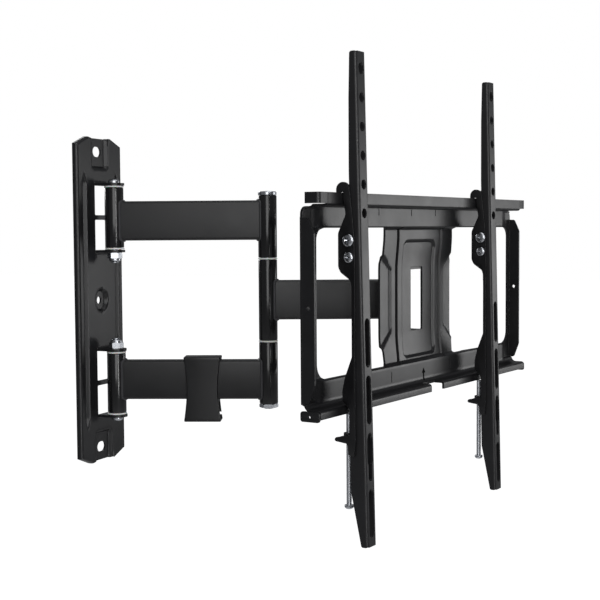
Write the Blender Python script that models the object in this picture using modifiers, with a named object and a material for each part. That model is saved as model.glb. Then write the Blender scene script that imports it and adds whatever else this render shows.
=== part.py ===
"""Full motion TV wall mount: wall plate, two pairs of arms, TV plate and two tilting TV rails.

The wall is the plane y = 0 and the mount stands out of it towards -Y. +Z is up.
All lengths below are in millimetres; MM turns them into metres when a shape is made.
"""

import math

import bmesh
import bpy
from mathutils import Matrix, Vector

MM = 0.001
GAP = 0.3  # space kept between two pieces that touch
SHEET = 2.2  # thickness of the pressed steel plates
INSET = 0.06  # how far a piece's own joined blocks lie inside one another's faces

# ---- wall plate ----
WALL_PLATE_WIDTH = 81.0
WALL_PLATE_HALF_HEIGHT = 165.4
WALL_PLATE_DEPTH = 6.0  # from the wall to the front face
WALL_PLATE_SHOULDER = 158.0  # where the end chamfers start
WALL_PLATE_END_HALF_WIDTH = 20.5
LAG_SLOT_HEIGHT = 152.0  # slot centres above and below the middle
LAG_SLOT_SIZE = (15.0, 10.5)
PAD_HALF_WIDTH = 15.5
PAD_EDGE = 134.0
GROOVE_CENTRE = 28.7
GROOVE_WIDTH = 8.6
GROOVE_HALF_LENGTH = 130.0
DIMPLE_RADIUS = 12.0
WINDOW_HALF_WIDTH = 10.5
CROSS_BAR = (82.5, 87.3)

# ---- hinges ----
WALL_AXIS = 22.2  # wall to hinge axis
EAR_SHEET = 2.4
EAR_RADIUS = 10.5
BARREL_RADIUS = 9.5
BARREL_BORE = 6.0
HINGE_BOLT_RADIUS = 4.0
HINGE_BARREL = (54.1, 115.1)  # height of the upper wall barrel; the lower one mirrors it
WASHER_RADIUS = 9.8
WASHER_THICKNESS = 1.5

# ---- arms ----
INNER_ARM = 156.4  # wall axis to elbow axis
OUTER_ARM = 135.0  # elbow axis to swivel axis
INNER_ANGLE = 67.95  # from the wall, in degrees
OUTER_ANGLE = 65.78
TUBE_HEIGHT = 40.0
TUBE_DEPTH = 15.0
TUBE_WALL = 2.0
INNER_TUBE_BOTTOM = 61.1
ELBOW_BARREL = (43.1, 106.1)
MIDDLE_BARREL = 41.0  # half height
ELBOW_BOLT_RADIUS = 5.0
SWIVEL_BARREL = 28.5  # half height

# ---- TV plate ----
PLATE_TURN = 8.59  # swivel of the TV plate, in degrees
PLATE_SETBACK = 22.5  # swivel axis to the plate's datum face
PLATE_HALF_LENGTH = 225.0
RAIL_FACE = 5.0
LIP_FACE = 20.0
UPPER_LIP_TOP = 103.0
LOWER_LIP_BOTTOM = -91.0
TOP_BAND = (72.5, 91.0)
BOTTOM_BAND = (-73.5, -60.5)
CENTRE_HALF_WIDTH = 75.0
LOWER_LIP_GAP = 13.6

# ---- TV rails and hook brackets ----
RAIL_WIDTH = 16.5
RAIL_CENTRES = {"left": -175.4, "right": 100.6}
RAIL_SHEET = 2.0
PIVOT_FORWARD = 25.7  # tilt bolt, ahead of the plate's datum face
PIVOT_HEIGHT = 61.6
PIVOT_TO_FACE = 10.4
LOCK_DROP = 14.8
RAIL_TOP = 162.7  # above the tilt bolt
RAIL_BOTTOM = -269.3
RAIL_LEAN = 1.34
SCREW_FORWARD = 19.0
TAB_HEIGHT = -113.0

# ---- cable clip ----
CLIP_CENTRE = 89.0  # from the wall axis
CLIP_TOP = -57.4
CLIP_BOTTOM = -124.0


def clear_scene():
    for item in list(bpy.data.objects):
        bpy.data.objects.remove(item, do_unlink=True)


def make_collection(name):
    collection = bpy.data.collections.new(name)
    bpy.context.scene.collection.children.link(collection)
    return collection


def linear(channel):
    value = channel / 255
    if value <= 0.04045:
        return value / 12.92
    return ((value + 0.055) / 1.055) ** 2.4


def make_material(name, colour, roughness, metallic):
    material = bpy.data.materials.new(name)
    material.use_nodes = True
    shader = material.node_tree.nodes["Principled BSDF"]
    rgb = [linear(int(colour[i:i + 2], 16)) for i in (1, 3, 5)]
    shader.inputs["Base Color"].default_value = (*rgb, 1)
    shader.inputs["Roughness"].default_value = roughness
    shader.inputs["Metallic"].default_value = metallic
    material.diffuse_color = (*rgb, 1)
    return material


clear_scene()
MOUNT = make_collection("tv_wall_mount")
CUTTERS = make_collection("cutters")
CUTTERS.hide_render = True

PAINT = make_material("black_powder_coat", "#242424", 0.42, 0.0)
RAIL_PAINT = make_material("rail_powder_coat", "#4c4c4c", 0.42, 0.0)
ZINC = make_material("zinc_plated_steel", "#c9ccd0", 0.28, 1.0)
NYLON = make_material("white_nylon", "#e8e8e4", 0.45, 0.0)
PLASTIC = make_material("black_plastic", "#161616", 0.5, 0.0)


# ---- outlines: lists of points in one plane, in millimetres ----

def arc(centre, radius, start, end, steps=8):
    points = []
    for i in range(steps + 1):
        angle = math.radians(start + (end - start) * i / steps)
        points.append((centre[0] + radius * math.cos(angle), centre[1] + radius * math.sin(angle)))
    return points


def circle(centre, radius, steps=32):
    return arc(centre, radius, 0, 360 - 360 / steps, steps - 1)


def rectangle(x0, x1, z0, z1):
    return [(x0, z0), (x1, z0), (x1, z1), (x0, z1)]


def rounded(points, radius, steps=5, closed=True):
    """Replaces each corner with an arc; radius is one number or one per corner."""
    count = len(points)
    radii = radius if isinstance(radius, (list, tuple)) else [radius] * count
    result = []
    for i, point in enumerate(points):
        corner = Vector(point)
        if radii[i] <= 0 or (not closed and i in (0, count - 1)):
            result.append(tuple(corner))
            continue
        before = (Vector(points[i - 1]) - corner).normalized()
        after = (Vector(points[(i + 1) % count]) - corner).normalized()
        half = before.angle(after) / 2
        reach = radii[i] / math.tan(half)
        centre = corner + (before + after).normalized() * radii[i] / math.sin(half)
        first = corner + before * reach - centre
        turn = first.angle_signed(corner + after * reach - centre)
        for k in range(steps + 1):
            angle = -turn * k / steps
            spoke = Matrix.Rotation(angle, 2) @ first
            result.append(tuple(centre + spoke))
    return result


def slot(centre, width, height, steps=6):
    """A hole with round ends along its longer side."""
    x, z = centre
    radius = min(width, height) / 2
    if height >= width:
        reach = height / 2 - radius
        return arc((x, z + reach), radius, 0, 180, steps) + arc((x, z - reach), radius, 180, 360, steps)
    reach = width / 2 - radius
    return arc((x + reach, z), radius, -90, 90, steps) + arc((x - reach, z), radius, 90, 270, steps)


def strip(path, thickness):
    """The closed outline of bent sheet metal that follows a centre line."""
    left = []
    right = []
    for i, point in enumerate(path):
        here = Vector(point)
        before = (here - Vector(path[i - 1])).normalized() if i > 0 else None
        after = (Vector(path[i + 1]) - here).normalized() if i < len(path) - 1 else None
        along = (before or after) + (after or before)
        along.normalize()
        across = Vector((-along.y, along.x))
        stretch = 1 / max(0.3, along.dot(after or before))
        left.append(tuple(here + across * thickness / 2 * stretch))
        right.append(tuple(here - across * thickness / 2 * stretch))
    return left + right[::-1]


# ---- solids: every function returns a mesh in metres ----

# An outline's two axes and the direction of its thickness, as world axes.
PLANES = {
    "xz": Matrix(((1, 0, 0, 0), (0, 0, -1, 0), (0, 1, 0, 0), (0, 0, 0, 1))),
    "xy": Matrix.Identity(4),
    "yz": Matrix(((0, 0, 1, 0), (1, 0, 0, 0), (0, 1, 0, 0), (0, 0, 0, 1))),
}


def extrude(outline, start, end, plane="xy", holes=()):
    """Pushes an outline with holes from start to end along the axis square to its plane."""
    curve = bpy.data.curves.new("outline", "CURVE")
    curve.dimensions = "2D"
    curve.fill_mode = "BOTH"
    curve.extrude = (end - start) / 2 * MM
    for points in (outline, *holes):
        spline = curve.splines.new("POLY")
        spline.points.add(len(points) - 1)
        for target, point in zip(spline.points, points):
            target.co = (point[0] * MM, point[1] * MM, 0, 1)
        spline.use_cyclic_u = True
    holder = bpy.data.objects.new("outline", curve)
    mesh = bpy.data.meshes.new_from_object(holder)
    bpy.data.objects.remove(holder)
    solid = bmesh.new()
    solid.from_mesh(mesh)
    bmesh.ops.remove_doubles(solid, verts=solid.verts, dist=0.00001)
    bmesh.ops.translate(solid, verts=solid.verts, vec=(0, 0, (start + end) / 2 * MM))
    bmesh.ops.transform(solid, verts=solid.verts, matrix=PLANES[plane])
    bmesh.ops.recalc_face_normals(solid, faces=solid.faces)
    solid.to_mesh(mesh)
    solid.free()
    return mesh


def box(x0, x1, y0, y1, z0, z1):
    solid = bmesh.new()
    size = Vector((x1 - x0, y1 - y0, z1 - z0)) * MM
    middle = Vector((x0 + x1, y0 + y1, z0 + z1)) / 2 * MM
    matrix = Matrix.Translation(middle) @ Matrix.Diagonal((*size, 1))
    bmesh.ops.create_cube(solid, size=1, matrix=matrix)
    mesh = bpy.data.meshes.new("box")
    solid.to_mesh(mesh)
    solid.free()
    return mesh


def lathe(profile, steps=32):
    """Turns a closed profile of (radius, height) points about Z with the Screw modifier."""
    mesh = bpy.data.meshes.new("profile")
    count = len(profile)
    edges = [(i, (i + 1) % count) for i in range(count)]
    mesh.from_pydata([(r * MM, 0, z * MM) for r, z in profile], edges, [])
    holder = bpy.data.objects.new("profile", mesh)
    MOUNT.objects.link(holder)
    screw = holder.modifiers.new("Turn", "SCREW")
    screw.steps = steps
    screw.render_steps = steps
    screw.use_merge_vertices = True
    screw.merge_threshold = 0.00001
    bpy.context.view_layer.update()
    graph = bpy.context.evaluated_depsgraph_get()
    turned = bpy.data.meshes.new_from_object(holder.evaluated_get(graph))
    bpy.data.objects.remove(holder)
    solid = bmesh.new()
    solid.from_mesh(turned)
    bmesh.ops.remove_doubles(solid, verts=solid.verts, dist=0.00001)
    bmesh.ops.dissolve_degenerate(solid, edges=solid.edges, dist=0.000005)
    bmesh.ops.recalc_face_normals(solid, faces=solid.faces)
    solid.to_mesh(turned)
    solid.free()
    return turned


def ring(outer, inner, bottom, top, edge=0.4, steps=24):
    """A tube, bush or washer with eased outer edges."""
    return lathe([(inner, top), (outer - edge, top), (outer, top - edge),
                  (outer, bottom + edge), (outer - edge, bottom), (inner, bottom)], steps)


def bolt(radius, head_radius, head_height, head_base, tip, edge=0.8):
    """A bolt along Z whose head starts at head_base and whose shank ends at tip."""
    up = 1 if head_base > tip else -1
    top = head_base + up * head_height
    profile = [(0, top), (head_radius - edge, top), (head_radius, top - up * edge),
               (head_radius, head_base), (radius, head_base), (radius, tip + up * 0.6),
               (radius - 0.6, tip), (0, tip)]
    mesh = bpy.data.meshes.new("profile")
    count = len(profile)
    mesh.from_pydata([(r * MM, 0, z * MM) for r, z in profile], [(i, i + 1) for i in range(count - 1)], [])
    return spin(mesh)


def spin(mesh, steps=20):
    solid = bmesh.new()
    solid.from_mesh(mesh)
    bmesh.ops.spin(solid, geom=solid.verts[:] + solid.edges[:], cent=(0, 0, 0), axis=(0, 0, 1),
                   angle=2 * math.pi, steps=steps, use_merge=True)
    bmesh.ops.remove_doubles(solid, verts=solid.verts, dist=0.00001)
    bmesh.ops.recalc_face_normals(solid, faces=solid.faces)
    solid.to_mesh(mesh)
    solid.free()
    return mesh


def hex_nut(across_flats, bore, bottom, top):
    """A hexagon nut along Z with a round bore and eased corners."""
    corner = across_flats / math.sqrt(3)
    outline = rounded([(corner * math.cos(math.radians(a)), corner * math.sin(math.radians(a)))
                       for a in range(0, 360, 60)], 0.8, 3)
    return extrude(outline, bottom, top, "xy", [circle((0, 0), bore, 24)])


def placed(mesh, matrix):
    mesh.transform(matrix)
    return mesh


def moved(mesh, x=0, y=0, z=0):
    return placed(mesh, Matrix.Translation(Vector((x, y, z)) * MM))


ALONG_X = Matrix.Rotation(math.radians(90), 4, "Y")  # turns +Z into +X


def mirrored_z(mesh):
    solid = bmesh.new()
    solid.from_mesh(mesh)
    bmesh.ops.scale(solid, vec=(1, 1, -1), verts=solid.verts)
    bmesh.ops.reverse_faces(solid, faces=solid.faces)
    solid.to_mesh(mesh)
    solid.free()
    return mesh


def combine(base, others, operation):
    """Joins, cuts or intersects a mesh with a list of others, one after the other."""
    holder = bpy.data.objects.new("work", base)
    MOUNT.objects.link(holder)
    tools = []
    for mesh in others:
        tool = bpy.data.objects.new("cutter", mesh)
        CUTTERS.objects.link(tool)
        tool.hide_render = True
        tool.display_type = "WIRE"
        modifier = holder.modifiers.new("Boolean", "BOOLEAN")
        modifier.operation = operation
        modifier.solver = "EXACT"
        modifier.object = tool
        tools.append(tool)
    bpy.context.view_layer.update()
    graph = bpy.context.evaluated_depsgraph_get()
    result = bpy.data.meshes.new_from_object(holder.evaluated_get(graph))
    for item in (holder, *tools):
        bpy.data.objects.remove(item)
    solid = bmesh.new()
    solid.from_mesh(result)
    bmesh.ops.remove_doubles(solid, verts=solid.verts, dist=0.000002)
    bmesh.ops.dissolve_limit(solid, angle_limit=math.radians(0.2), verts=solid.verts, edges=solid.edges)
    solid.to_mesh(result)
    solid.free()
    return result


def cut(base, *tools):
    return combine(base, tools, "DIFFERENCE")


def join(base, *others):
    return combine(base, others, "UNION")


def add_piece(name, mesh, material, parent):
    mesh.name = name
    mesh.materials.clear()
    mesh.materials.append(material)
    piece = bpy.data.objects.new(name, mesh)
    MOUNT.objects.link(piece)
    piece.parent = parent
    for face in mesh.polygons:
        face.use_smooth = True
    mesh.set_sharp_from_angle(angle=math.radians(28))
    return piece


def add_axis(name, parent, place, turn_z=0.0, turn_x=0.0):
    """An empty that stands on a joint's axis and carries what the joint moves."""
    axis = bpy.data.objects.new(name, None)
    MOUNT.objects.link(axis)
    axis.empty_display_size = 0.03
    axis.parent = parent
    axis.location = Vector(place) * MM
    axis.rotation_euler = (math.radians(turn_x), 0, math.radians(turn_z))
    return axis


# ---- wall side ----

def hinge_ear(height, face_y, axis_y, thickness=EAR_SHEET):
    """A tongue bent out of a plate: it runs from the plate's face to a round end about the axis."""
    outline = [(EAR_RADIUS, face_y)] + arc((0, axis_y), EAR_RADIUS, 0, 180 if axis_y > face_y else -180, 16)
    outline.append((-EAR_RADIUS, face_y))
    return extrude(outline, height, height + thickness, "xy", [circle((0, axis_y), HINGE_BOLT_RADIUS + GAP, 24)])


def make_wall_plate(parent):
    half = WALL_PLATE_WIDTH / 2
    top = WALL_PLATE_HALF_HEIGHT
    end = WALL_PLATE_END_HALF_WIDTH
    shoulder = WALL_PLATE_SHOULDER
    outline = rounded([(-half, -shoulder), (-end, -top), (end, -top), (half, -shoulder),
                       (half, shoulder), (end, top), (-end, top), (-half, shoulder)], 4)
    depth = WALL_PLATE_DEPTH
    plate = extrude(outline, 0, depth, "xz")
    groove_in = GROOVE_CENTRE - GROOVE_WIDTH / 2 - SHEET
    groove_out = GROOVE_CENTRE + GROOVE_WIDTH / 2 + SHEET
    back = depth - SHEET
    hollow = extrude(rectangle(-groove_in, groove_in, 4 - PAD_EDGE, PAD_EDGE - 4), -1, back, "xz",
                     [circle((0, 0), DIMPLE_RADIUS + SHEET, 32)])
    tools = [hollow]
    for side in (-1, 1):
        edges = sorted((side * groove_out, side * (half - SHEET)))
        tools.append(extrude(rectangle(*edges, -shoulder + 2, shoulder - 2), -1, back, "xz"))
        reach = GROOVE_HALF_LENGTH
        wide = GROOVE_WIDTH / 2
        x = side * GROOVE_CENTRE
        groove = [(x - wide, -reach + 10), (x, -reach), (x + wide, -reach + 10),
                  (x + wide, reach - 10), (x, reach), (x - wide, reach - 10)]
        tools.append(groove_cutter(groove, x, depth))
        tools.append(pad_cutter(side))
        tools.append(extrude(slot((0, side * LAG_SLOT_HEIGHT), *LAG_SLOT_SIZE), -1, depth + 1, "xz"))
        for low, high in ((51.0, CROSS_BAR[0]), (CROSS_BAR[1], 118.4)):
            heights = sorted((side * low, side * high))
            window = rectangle(-WINDOW_HALF_WIDTH, WINDOW_HALF_WIDTH, *heights)
            tools.append(extrude(window, -1, depth + 1, "xz"))
    tools.append(dimple_cutter())
    tools.append(extrude(circle((0, 0), 4, 24), -1, depth + 1, "xz"))
    plate = cut(plate, *tools)
    ears = []
    for side in (-1, 1):
        for inner in (49.3, 117.2):
            low = min(side * inner, side * (inner + EAR_SHEET))
            ears.append(hinge_ear(low, -back, -WALL_AXIS))
    plate = join(plate, *ears)
    return add_piece("wall_plate", plate, PAINT, parent)


def groove_cutter(outline, centre, depth):
    """A pressed groove, narrower at its floor."""
    mesh = extrude(outline, depth - 3.6, depth + 1, "xz")
    floor = max(v.co.y for v in mesh.vertices)
    for vertex in mesh.vertices:
        if vertex.co.y > floor - 0.00001:
            vertex.co.x = centre * MM + (vertex.co.x - centre * MM) * 0.45
            vertex.co.z *= 0.975
    return mesh


def pad_cutter(side):
    """The recess round a lag slot: it opens at the plate's end and has sloping walls."""
    edge = PAD_EDGE
    outline = rounded([(-PAD_HALF_WIDTH, side * 190), (-PAD_HALF_WIDTH, side * edge),
                       (PAD_HALF_WIDTH, side * edge), (PAD_HALF_WIDTH, side * 190)], [0, 5, 5, 0])
    mesh = extrude(outline, SHEET, WALL_PLATE_DEPTH + 1, "xz")
    floor = max(v.co.y for v in mesh.vertices)
    for vertex in mesh.vertices:
        if vertex.co.y > floor - 0.00001:
            vertex.co.x *= 0.8
            vertex.co.z += side * 3 * MM
    return mesh


def dimple_cutter():
    mesh = extrude(circle((0, 0), DIMPLE_RADIUS, 32), SHEET, WALL_PLATE_DEPTH + 1, "xz")
    floor = max(v.co.y for v in mesh.vertices)
    for vertex in mesh.vertices:
        if vertex.co.y > floor - 0.00001:
            vertex.co.x *= 0.78
            vertex.co.z *= 0.78
    return mesh


def make_wall_hinges(parent):
    """Bolt, lock nut and two nylon washers for each of the two wall hinges."""
    low, high = HINGE_BARREL
    for name, flip in (("upper", False), ("lower", True)):
        pieces = {
            "hinge_bolt": (bolt(HINGE_BOLT_RADIUS, 6, 4.2, 117.2 + EAR_SHEET + GAP, 38.5), ZINC),
            "hinge_nut": (hex_nut(13, HINGE_BOLT_RADIUS + GAP, 40.2, 49.3 - GAP), ZINC),
            "hinge_washer_outer": (ring(WASHER_RADIUS, HINGE_BOLT_RADIUS + GAP, high + GAP,
                                        high + GAP + WASHER_THICKNESS), NYLON),
            "hinge_washer_inner": (ring(WASHER_RADIUS, HINGE_BOLT_RADIUS + GAP, low - GAP - WASHER_THICKNESS,
                                        low - GAP), NYLON),
        }
        for piece, (mesh, material) in pieces.items():
            if flip:
                mesh = mirrored_z(mesh)
            add_piece(name + "_" + piece, moved(mesh, y=-WALL_AXIS), material, parent)


# ---- arms ----

def arm_tube(length, bottom, top):
    """A flat steel tube with rounded corners, coped to fit the barrels at both ends."""
    deep = TUBE_DEPTH / 2
    middle = (bottom + top) / 2
    outer = rounded(rectangle(-deep, deep, bottom, top), 3, 4)
    inner = rounded(rectangle(-deep + TUBE_WALL, deep - TUBE_WALL, bottom + TUBE_WALL, top - TUBE_WALL), 1.2, 3)
    tube = extrude(outer, 3, length - 3, "yz", [inner])
    cope = BARREL_RADIUS + GAP
    ends = [moved(lathe([(0, middle + 40), (cope, middle + 40), (cope, middle - 40), (0, middle - 40)], 32), x=x)
            for x in (0, length)]
    return cut(tube, *ends)


def make_inner_arms(parent):
    low, high = HINGE_BARREL
    for name, flip in (("upper", False), ("lower", True)):
        pieces = {
            "arm_tube": arm_tube(INNER_ARM, INNER_TUBE_BOTTOM, INNER_TUBE_BOTTOM + TUBE_HEIGHT),
            "wall_barrel": ring(BARREL_RADIUS, BARREL_BORE, low, high, 0.6, 32),
            "elbow_barrel": moved(ring(BARREL_RADIUS, BARREL_BORE, *ELBOW_BARREL, 0.6, 32), x=INNER_ARM),
        }
        for piece, mesh in pieces.items():
            if flip:
                mesh = mirrored_z(mesh)
            add_piece(name + "_" + piece, mesh, PAINT, parent)
    top = ELBOW_BARREL[1]
    washer = ring(WASHER_RADIUS, ELBOW_BOLT_RADIUS + GAP, MIDDLE_BARREL + GAP, ELBOW_BARREL[0] - GAP)
    add_piece("elbow_washer_upper", moved(washer.copy(), x=INNER_ARM), NYLON, parent)
    add_piece("elbow_washer_lower", moved(mirrored_z(washer), x=INNER_ARM), NYLON, parent)
    head = bolt(ELBOW_BOLT_RADIUS, 8.5, 4.2, top + GAP, -top - 5.2, 1.4)
    add_piece("elbow_bolt", moved(head, x=INNER_ARM), ZINC, parent)
    nut = hex_nut(17, ELBOW_BOLT_RADIUS + GAP, -top - GAP - 3.8, -top - GAP)
    add_piece("elbow_nut", moved(nut, x=INNER_ARM), ZINC, parent)


def make_outer_arm(parent):
    half = TUBE_HEIGHT / 2
    add_piece("outer_arm_tube", arm_tube(OUTER_ARM, -half, half), PAINT, parent)
    elbow = ring(BARREL_RADIUS, BARREL_BORE, -MIDDLE_BARREL, MIDDLE_BARREL, 0.6, 32)
    add_piece("outer_elbow_barrel", elbow, PAINT, parent)
    swivel = ring(BARREL_RADIUS, BARREL_BORE, -SWIVEL_BARREL, SWIVEL_BARREL, 0.6, 32)
    add_piece("swivel_barrel", moved(swivel, x=OUTER_ARM), PAINT, parent)


def make_cable_clip(parent):
    """A plastic sleeve over the lower arm with a cable channel under it and waisted sides."""
    wide = 19.0
    waist = 15.8
    side = [(wide, CLIP_BOTTOM)] + [
        (waist + (wide - waist) * abs(t) ** 1.6, (CLIP_TOP + CLIP_BOTTOM) / 2 + t * (CLIP_TOP - CLIP_BOTTOM) / 2)
        for t in (-0.75, -0.5, -0.25, 0, 0.25, 0.5, 0.75)] + [(wide, CLIP_TOP)]
    outline = side + [(-x, z) for x, z in reversed(side)]
    deep = TUBE_DEPTH / 2 + 2.8
    clip = extrude(outline, -deep, deep, "xz")
    tube_top = -INNER_TUBE_BOTTOM
    fit = TUBE_DEPTH / 2 + GAP
    sleeve = rounded(rectangle(-fit, fit, tube_top - TUBE_HEIGHT - GAP, tube_top + GAP), 3, 4)
    channel = rounded(rectangle(-fit, fit, CLIP_BOTTOM + 2.4, tube_top - TUBE_HEIGHT - 2.6), 3, 4)
    mouth = box(-30, 30, 4, 20, CLIP_BOTTOM + 5, CLIP_BOTTOM + 8)
    clip = cut(clip, extrude(sleeve, -30, 30, "yz"), extrude(channel, -30, 30, "yz"), mouth)
    add_piece("cable_clip", clip, PLASTIC, parent)


# ---- TV plate: h is the distance ahead of its datum face ----

def ahead(h):
    """The local y of a point h ahead of the plate's datum face."""
    return -(h + PLATE_SETBACK)


def section(path, thickness, start, end, holes=()):
    """Bent sheet given by its (h, z) centre line and pushed along the plate's length."""
    outline = [(ahead(h), z) for h, z in strip(path, thickness)]
    return extrude(outline, start, end, "yz")


def plan(path, thickness, bottom, top):
    """Bent sheet given by its (x, h) centre line and pushed upwards."""
    outline = [(x, ahead(h)) for x, h in strip(path, thickness)]
    return extrude(outline, bottom, top, "xy")


def band_path():
    """The plan of the frame's long bands: set back at both ends."""
    half = PLATE_HALF_LENGTH
    left = [(-half + 0.5, -1.1), (-half + 14, -1.1), (-half + 31, RAIL_FACE - 1.1)]
    right = [(-x, h) for x, h in reversed(left)]
    path = left + right
    return rounded(path, [0, 16, 16, 16, 16, 0], 4, closed=False)


def column(side):
    """The narrow upright at one end of the frame and its outward flange."""
    half = PLATE_HALF_LENGTH
    x0, x1 = sorted((side * (half - 1), side * (half - 1 - SHEET)))
    low = -78.0
    high = 81.0
    back = SHEET - INSET
    flange = [(ahead(-back), low), (ahead(8), low), (ahead(14), -62), (ahead(14), 68),
              (ahead(8), high), (ahead(-back), high)]
    web = sorted((side * (half - 1 - INSET), side * (half - 8)))
    return (extrude(flange, x0, x1, "yz", [circle((ahead(7.5), 4), 1.8, 16)]),
            box(web[0], web[1], ahead(-INSET), ahead(INSET - SHEET) - INSET, low + INSET, high - INSET))


def corner_fillet(x, z, side_x, side_z, radius=12.0):
    """Fills an inside corner of the frame's opening with a concave round."""
    centre = (x + side_x * radius, z + side_z * radius)
    start = math.degrees(math.atan2(-side_z, -side_x))
    curve = arc(centre, radius, start - 45, start + 45, 8)
    points = curve + [(x - side_x * 2, z - side_z * 2)]
    return points


def make_tv_plate(parent):
    half = PLATE_HALF_LENGTH
    web = RAIL_FACE - SHEET / 2
    bands = [plan(band_path(), SHEET, *TOP_BAND), plan(band_path(), SHEET, *BOTTOM_BAND)]
    shelf = UPPER_LIP_TOP - 10.9
    lip_centre = LIP_FACE - SHEET / 2
    upper = rounded([(web, TOP_BAND[0] + 3), (web, shelf), (lip_centre, shelf), (lip_centre, UPPER_LIP_TOP - 1)],
                    [0, 1.9, 1.9, 0], 4, closed=False)
    ledge = -84.2
    lower = rounded([(web, BOTTOM_BAND[1] - 3), (web, ledge), (lip_centre, ledge),
                     (lip_centre, LOWER_LIP_BOTTOM + 1)], [0, 9, 1.9, 0], 5, closed=False)
    top_return = rounded([(-half + 1.1, 5.6), (-half + 1.1, lip_centre), (half - 1.1, lip_centre),
                          (half - 1.1, 5.6)], 2.5, 4, closed=False)
    solids = bands + [
        section(upper, SHEET - INSET, -half + 14, half - 14),
        section(lower, SHEET - INSET, -half + 8, half - 8),
        plan(top_return, SHEET, UPPER_LIP_TOP - 9.6, UPPER_LIP_TOP),
        box(-half + 1.5, half - 1.5, ahead(LIP_FACE), ahead(LIP_FACE - SHEET), LOWER_LIP_BOTTOM, -85.4),
    ]
    for side in (-1, 1):
        solids.extend(column(side))
    fillets = []
    for side in (-1, 1):
        for height, up in ((TOP_BAND[0], -1), (BOTTOM_BAND[1], 1)):
            points = corner_fillet(side * (half - 8), height, -side, up)
            fillets.append(extrude(points, PLATE_SETBACK - SHEET + 2 * INSET, PLATE_SETBACK - 2 * INSET, "xz"))
    frame = join(solids[0], *solids[1:], *centre_plate(), *fillets)
    gap = LOWER_LIP_GAP
    tools = [box(-gap, gap, ahead(40), ahead(RAIL_FACE + 4), -96, -79)]
    tools += [extrude(rectangle(-11.5, 11.5, -32.8, 32.8), PLATE_SETBACK - 12, PLATE_SETBACK + 6, "xz")]
    frame = cut(frame, *tools)
    face = ahead(-6)
    ears = [hinge_ear(low, face - 1, 0) for low in (30.6, -33.0)]
    return add_piece("tv_plate", join(frame, *ears), PAINT, parent)


def centre_plate():
    """The middle of the frame: two grooves, wings stepped back and a recessed panel for the hinge ears."""
    top = TOP_BAND[0] + 2.4
    bottom = BOTTOM_BAND[1] - 2.4
    wide = CENTRE_HALF_WIDTH
    groove = 46.5
    edges = [(-wide, -3.1), (-groove - 4, -3.1), (-groove - 1, -6.6), (-groove + 1, -6.6), (-groove + 4, -3.1),
             (-34.5, -3.1), (-32, -7.1)]
    path = edges + [(-x, h) for x, h in reversed(edges)]
    body = plan(path, SHEET, -58, 61)
    flat = [(-wide, -3.1), (-groove - 4, -3.1), (-groove - 1, -6.6), (-groove + 1, -6.6), (-groove + 4, -3.1)]
    ends = flat + [(-x, h) for x, h in reversed(flat)]
    over = plan(ends, SHEET - INSET, 58.9, top)
    under = plan(ends, SHEET - INSET, bottom, -55.9)
    joints = [box(INSET - wide, wide - INSET, ahead(RAIL_FACE - INSET), ahead(INSET - 4.2), z0 + INSET, z1 - INSET)
              for z0, z1 in ((TOP_BAND[0], top), (bottom, BOTTOM_BAND[1]))]
    steps = [box(-36, 36, ahead(-2 - INSET), ahead(INSET - 8.2), z0 + INSET, z1 - INSET)
             for z0, z1 in ((58.9, 61), (-58, -55.9))]
    return [body, over, under, *joints, *steps]


def make_swivel(parent):
    edge = SWIVEL_BARREL
    bore = HINGE_BOLT_RADIUS + GAP
    outer = 30.6 + EAR_SHEET + GAP
    add_piece("swivel_bolt", bolt(HINGE_BOLT_RADIUS, 6, 4.2, outer, -outer - 10.2), ZINC, parent)
    add_piece("swivel_nut", hex_nut(13, bore, -outer - 8.5, -outer), ZINC, parent)
    washer = ring(WASHER_RADIUS, bore, edge + GAP, edge + GAP + WASHER_THICKNESS)
    add_piece("swivel_washer_upper", washer.copy(), NYLON, parent)
    add_piece("swivel_washer_lower", mirrored_z(washer), NYLON, parent)


def make_end_caps(parent):
    """Black caps on the ends of the lower lip."""
    for side, name in ((-1, "left"), (1, "right")):
        x0, x1 = sorted((side * (PLATE_HALF_LENGTH - 1.2), side * (PLATE_HALF_LENGTH + 1.0)))
        outline = rounded([(ahead(0.5), -93.2), (ahead(19.6), -93.2), (ahead(19.6), -84.2), (ahead(0.5), -84.2)], 2.2)
        cap = extrude(outline, x0, x1, "yz", [circle((ahead(9.5), -89), 1.2, 12)])
        add_piece("lower_end_cap_" + name, cap, PLASTIC, parent)


# ---- brackets and TV rails: local origin on the tilt bolt, +y towards the wall ----

def bracket_outline():
    """One cheek of the hook bracket as (h, z): hook over the upper lip, belly at the bolts, toe at the lower lip."""
    dome = arc((20.0, 105.6), 6.6, 0, 180, 12)
    hook = [(13.4, 100.0), (14.4, 98.6), (16.2, 98.6), (17.2, 99.8), (17.2, 103.4), (17.9, 104.1),
            (19.9, 104.1), (20.6, 103.4)]
    back = [(20.6, 95), (22.8, 84), (20.0, 78), (16.2, 71), (15.1, 66), (15.1, 39), (17.2, 34.5),
            (27.0, 27.5), (28.4, 24), (28.4, -36)]
    toe = [(21.5, -58), (19.6, -64), (18.8, -70), (18.8, -77.5), (20.5, -80.6), (25.2, -85.2), (26.1, -88)]
    foot = [(26.1, -109), (12.0, -111.6), (10.8, -113), (10.8, -114.4), (12.0, -115.2), (22.4, -116.4),
            (24.0, -118.5), (24.6, -126.0), (30.2, -127.5)]
    front = [(31.6, -116), (31.6, 50), (30.7, 69), (28.2, 91)]
    return dome + hook + back + toe + foot + front


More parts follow.
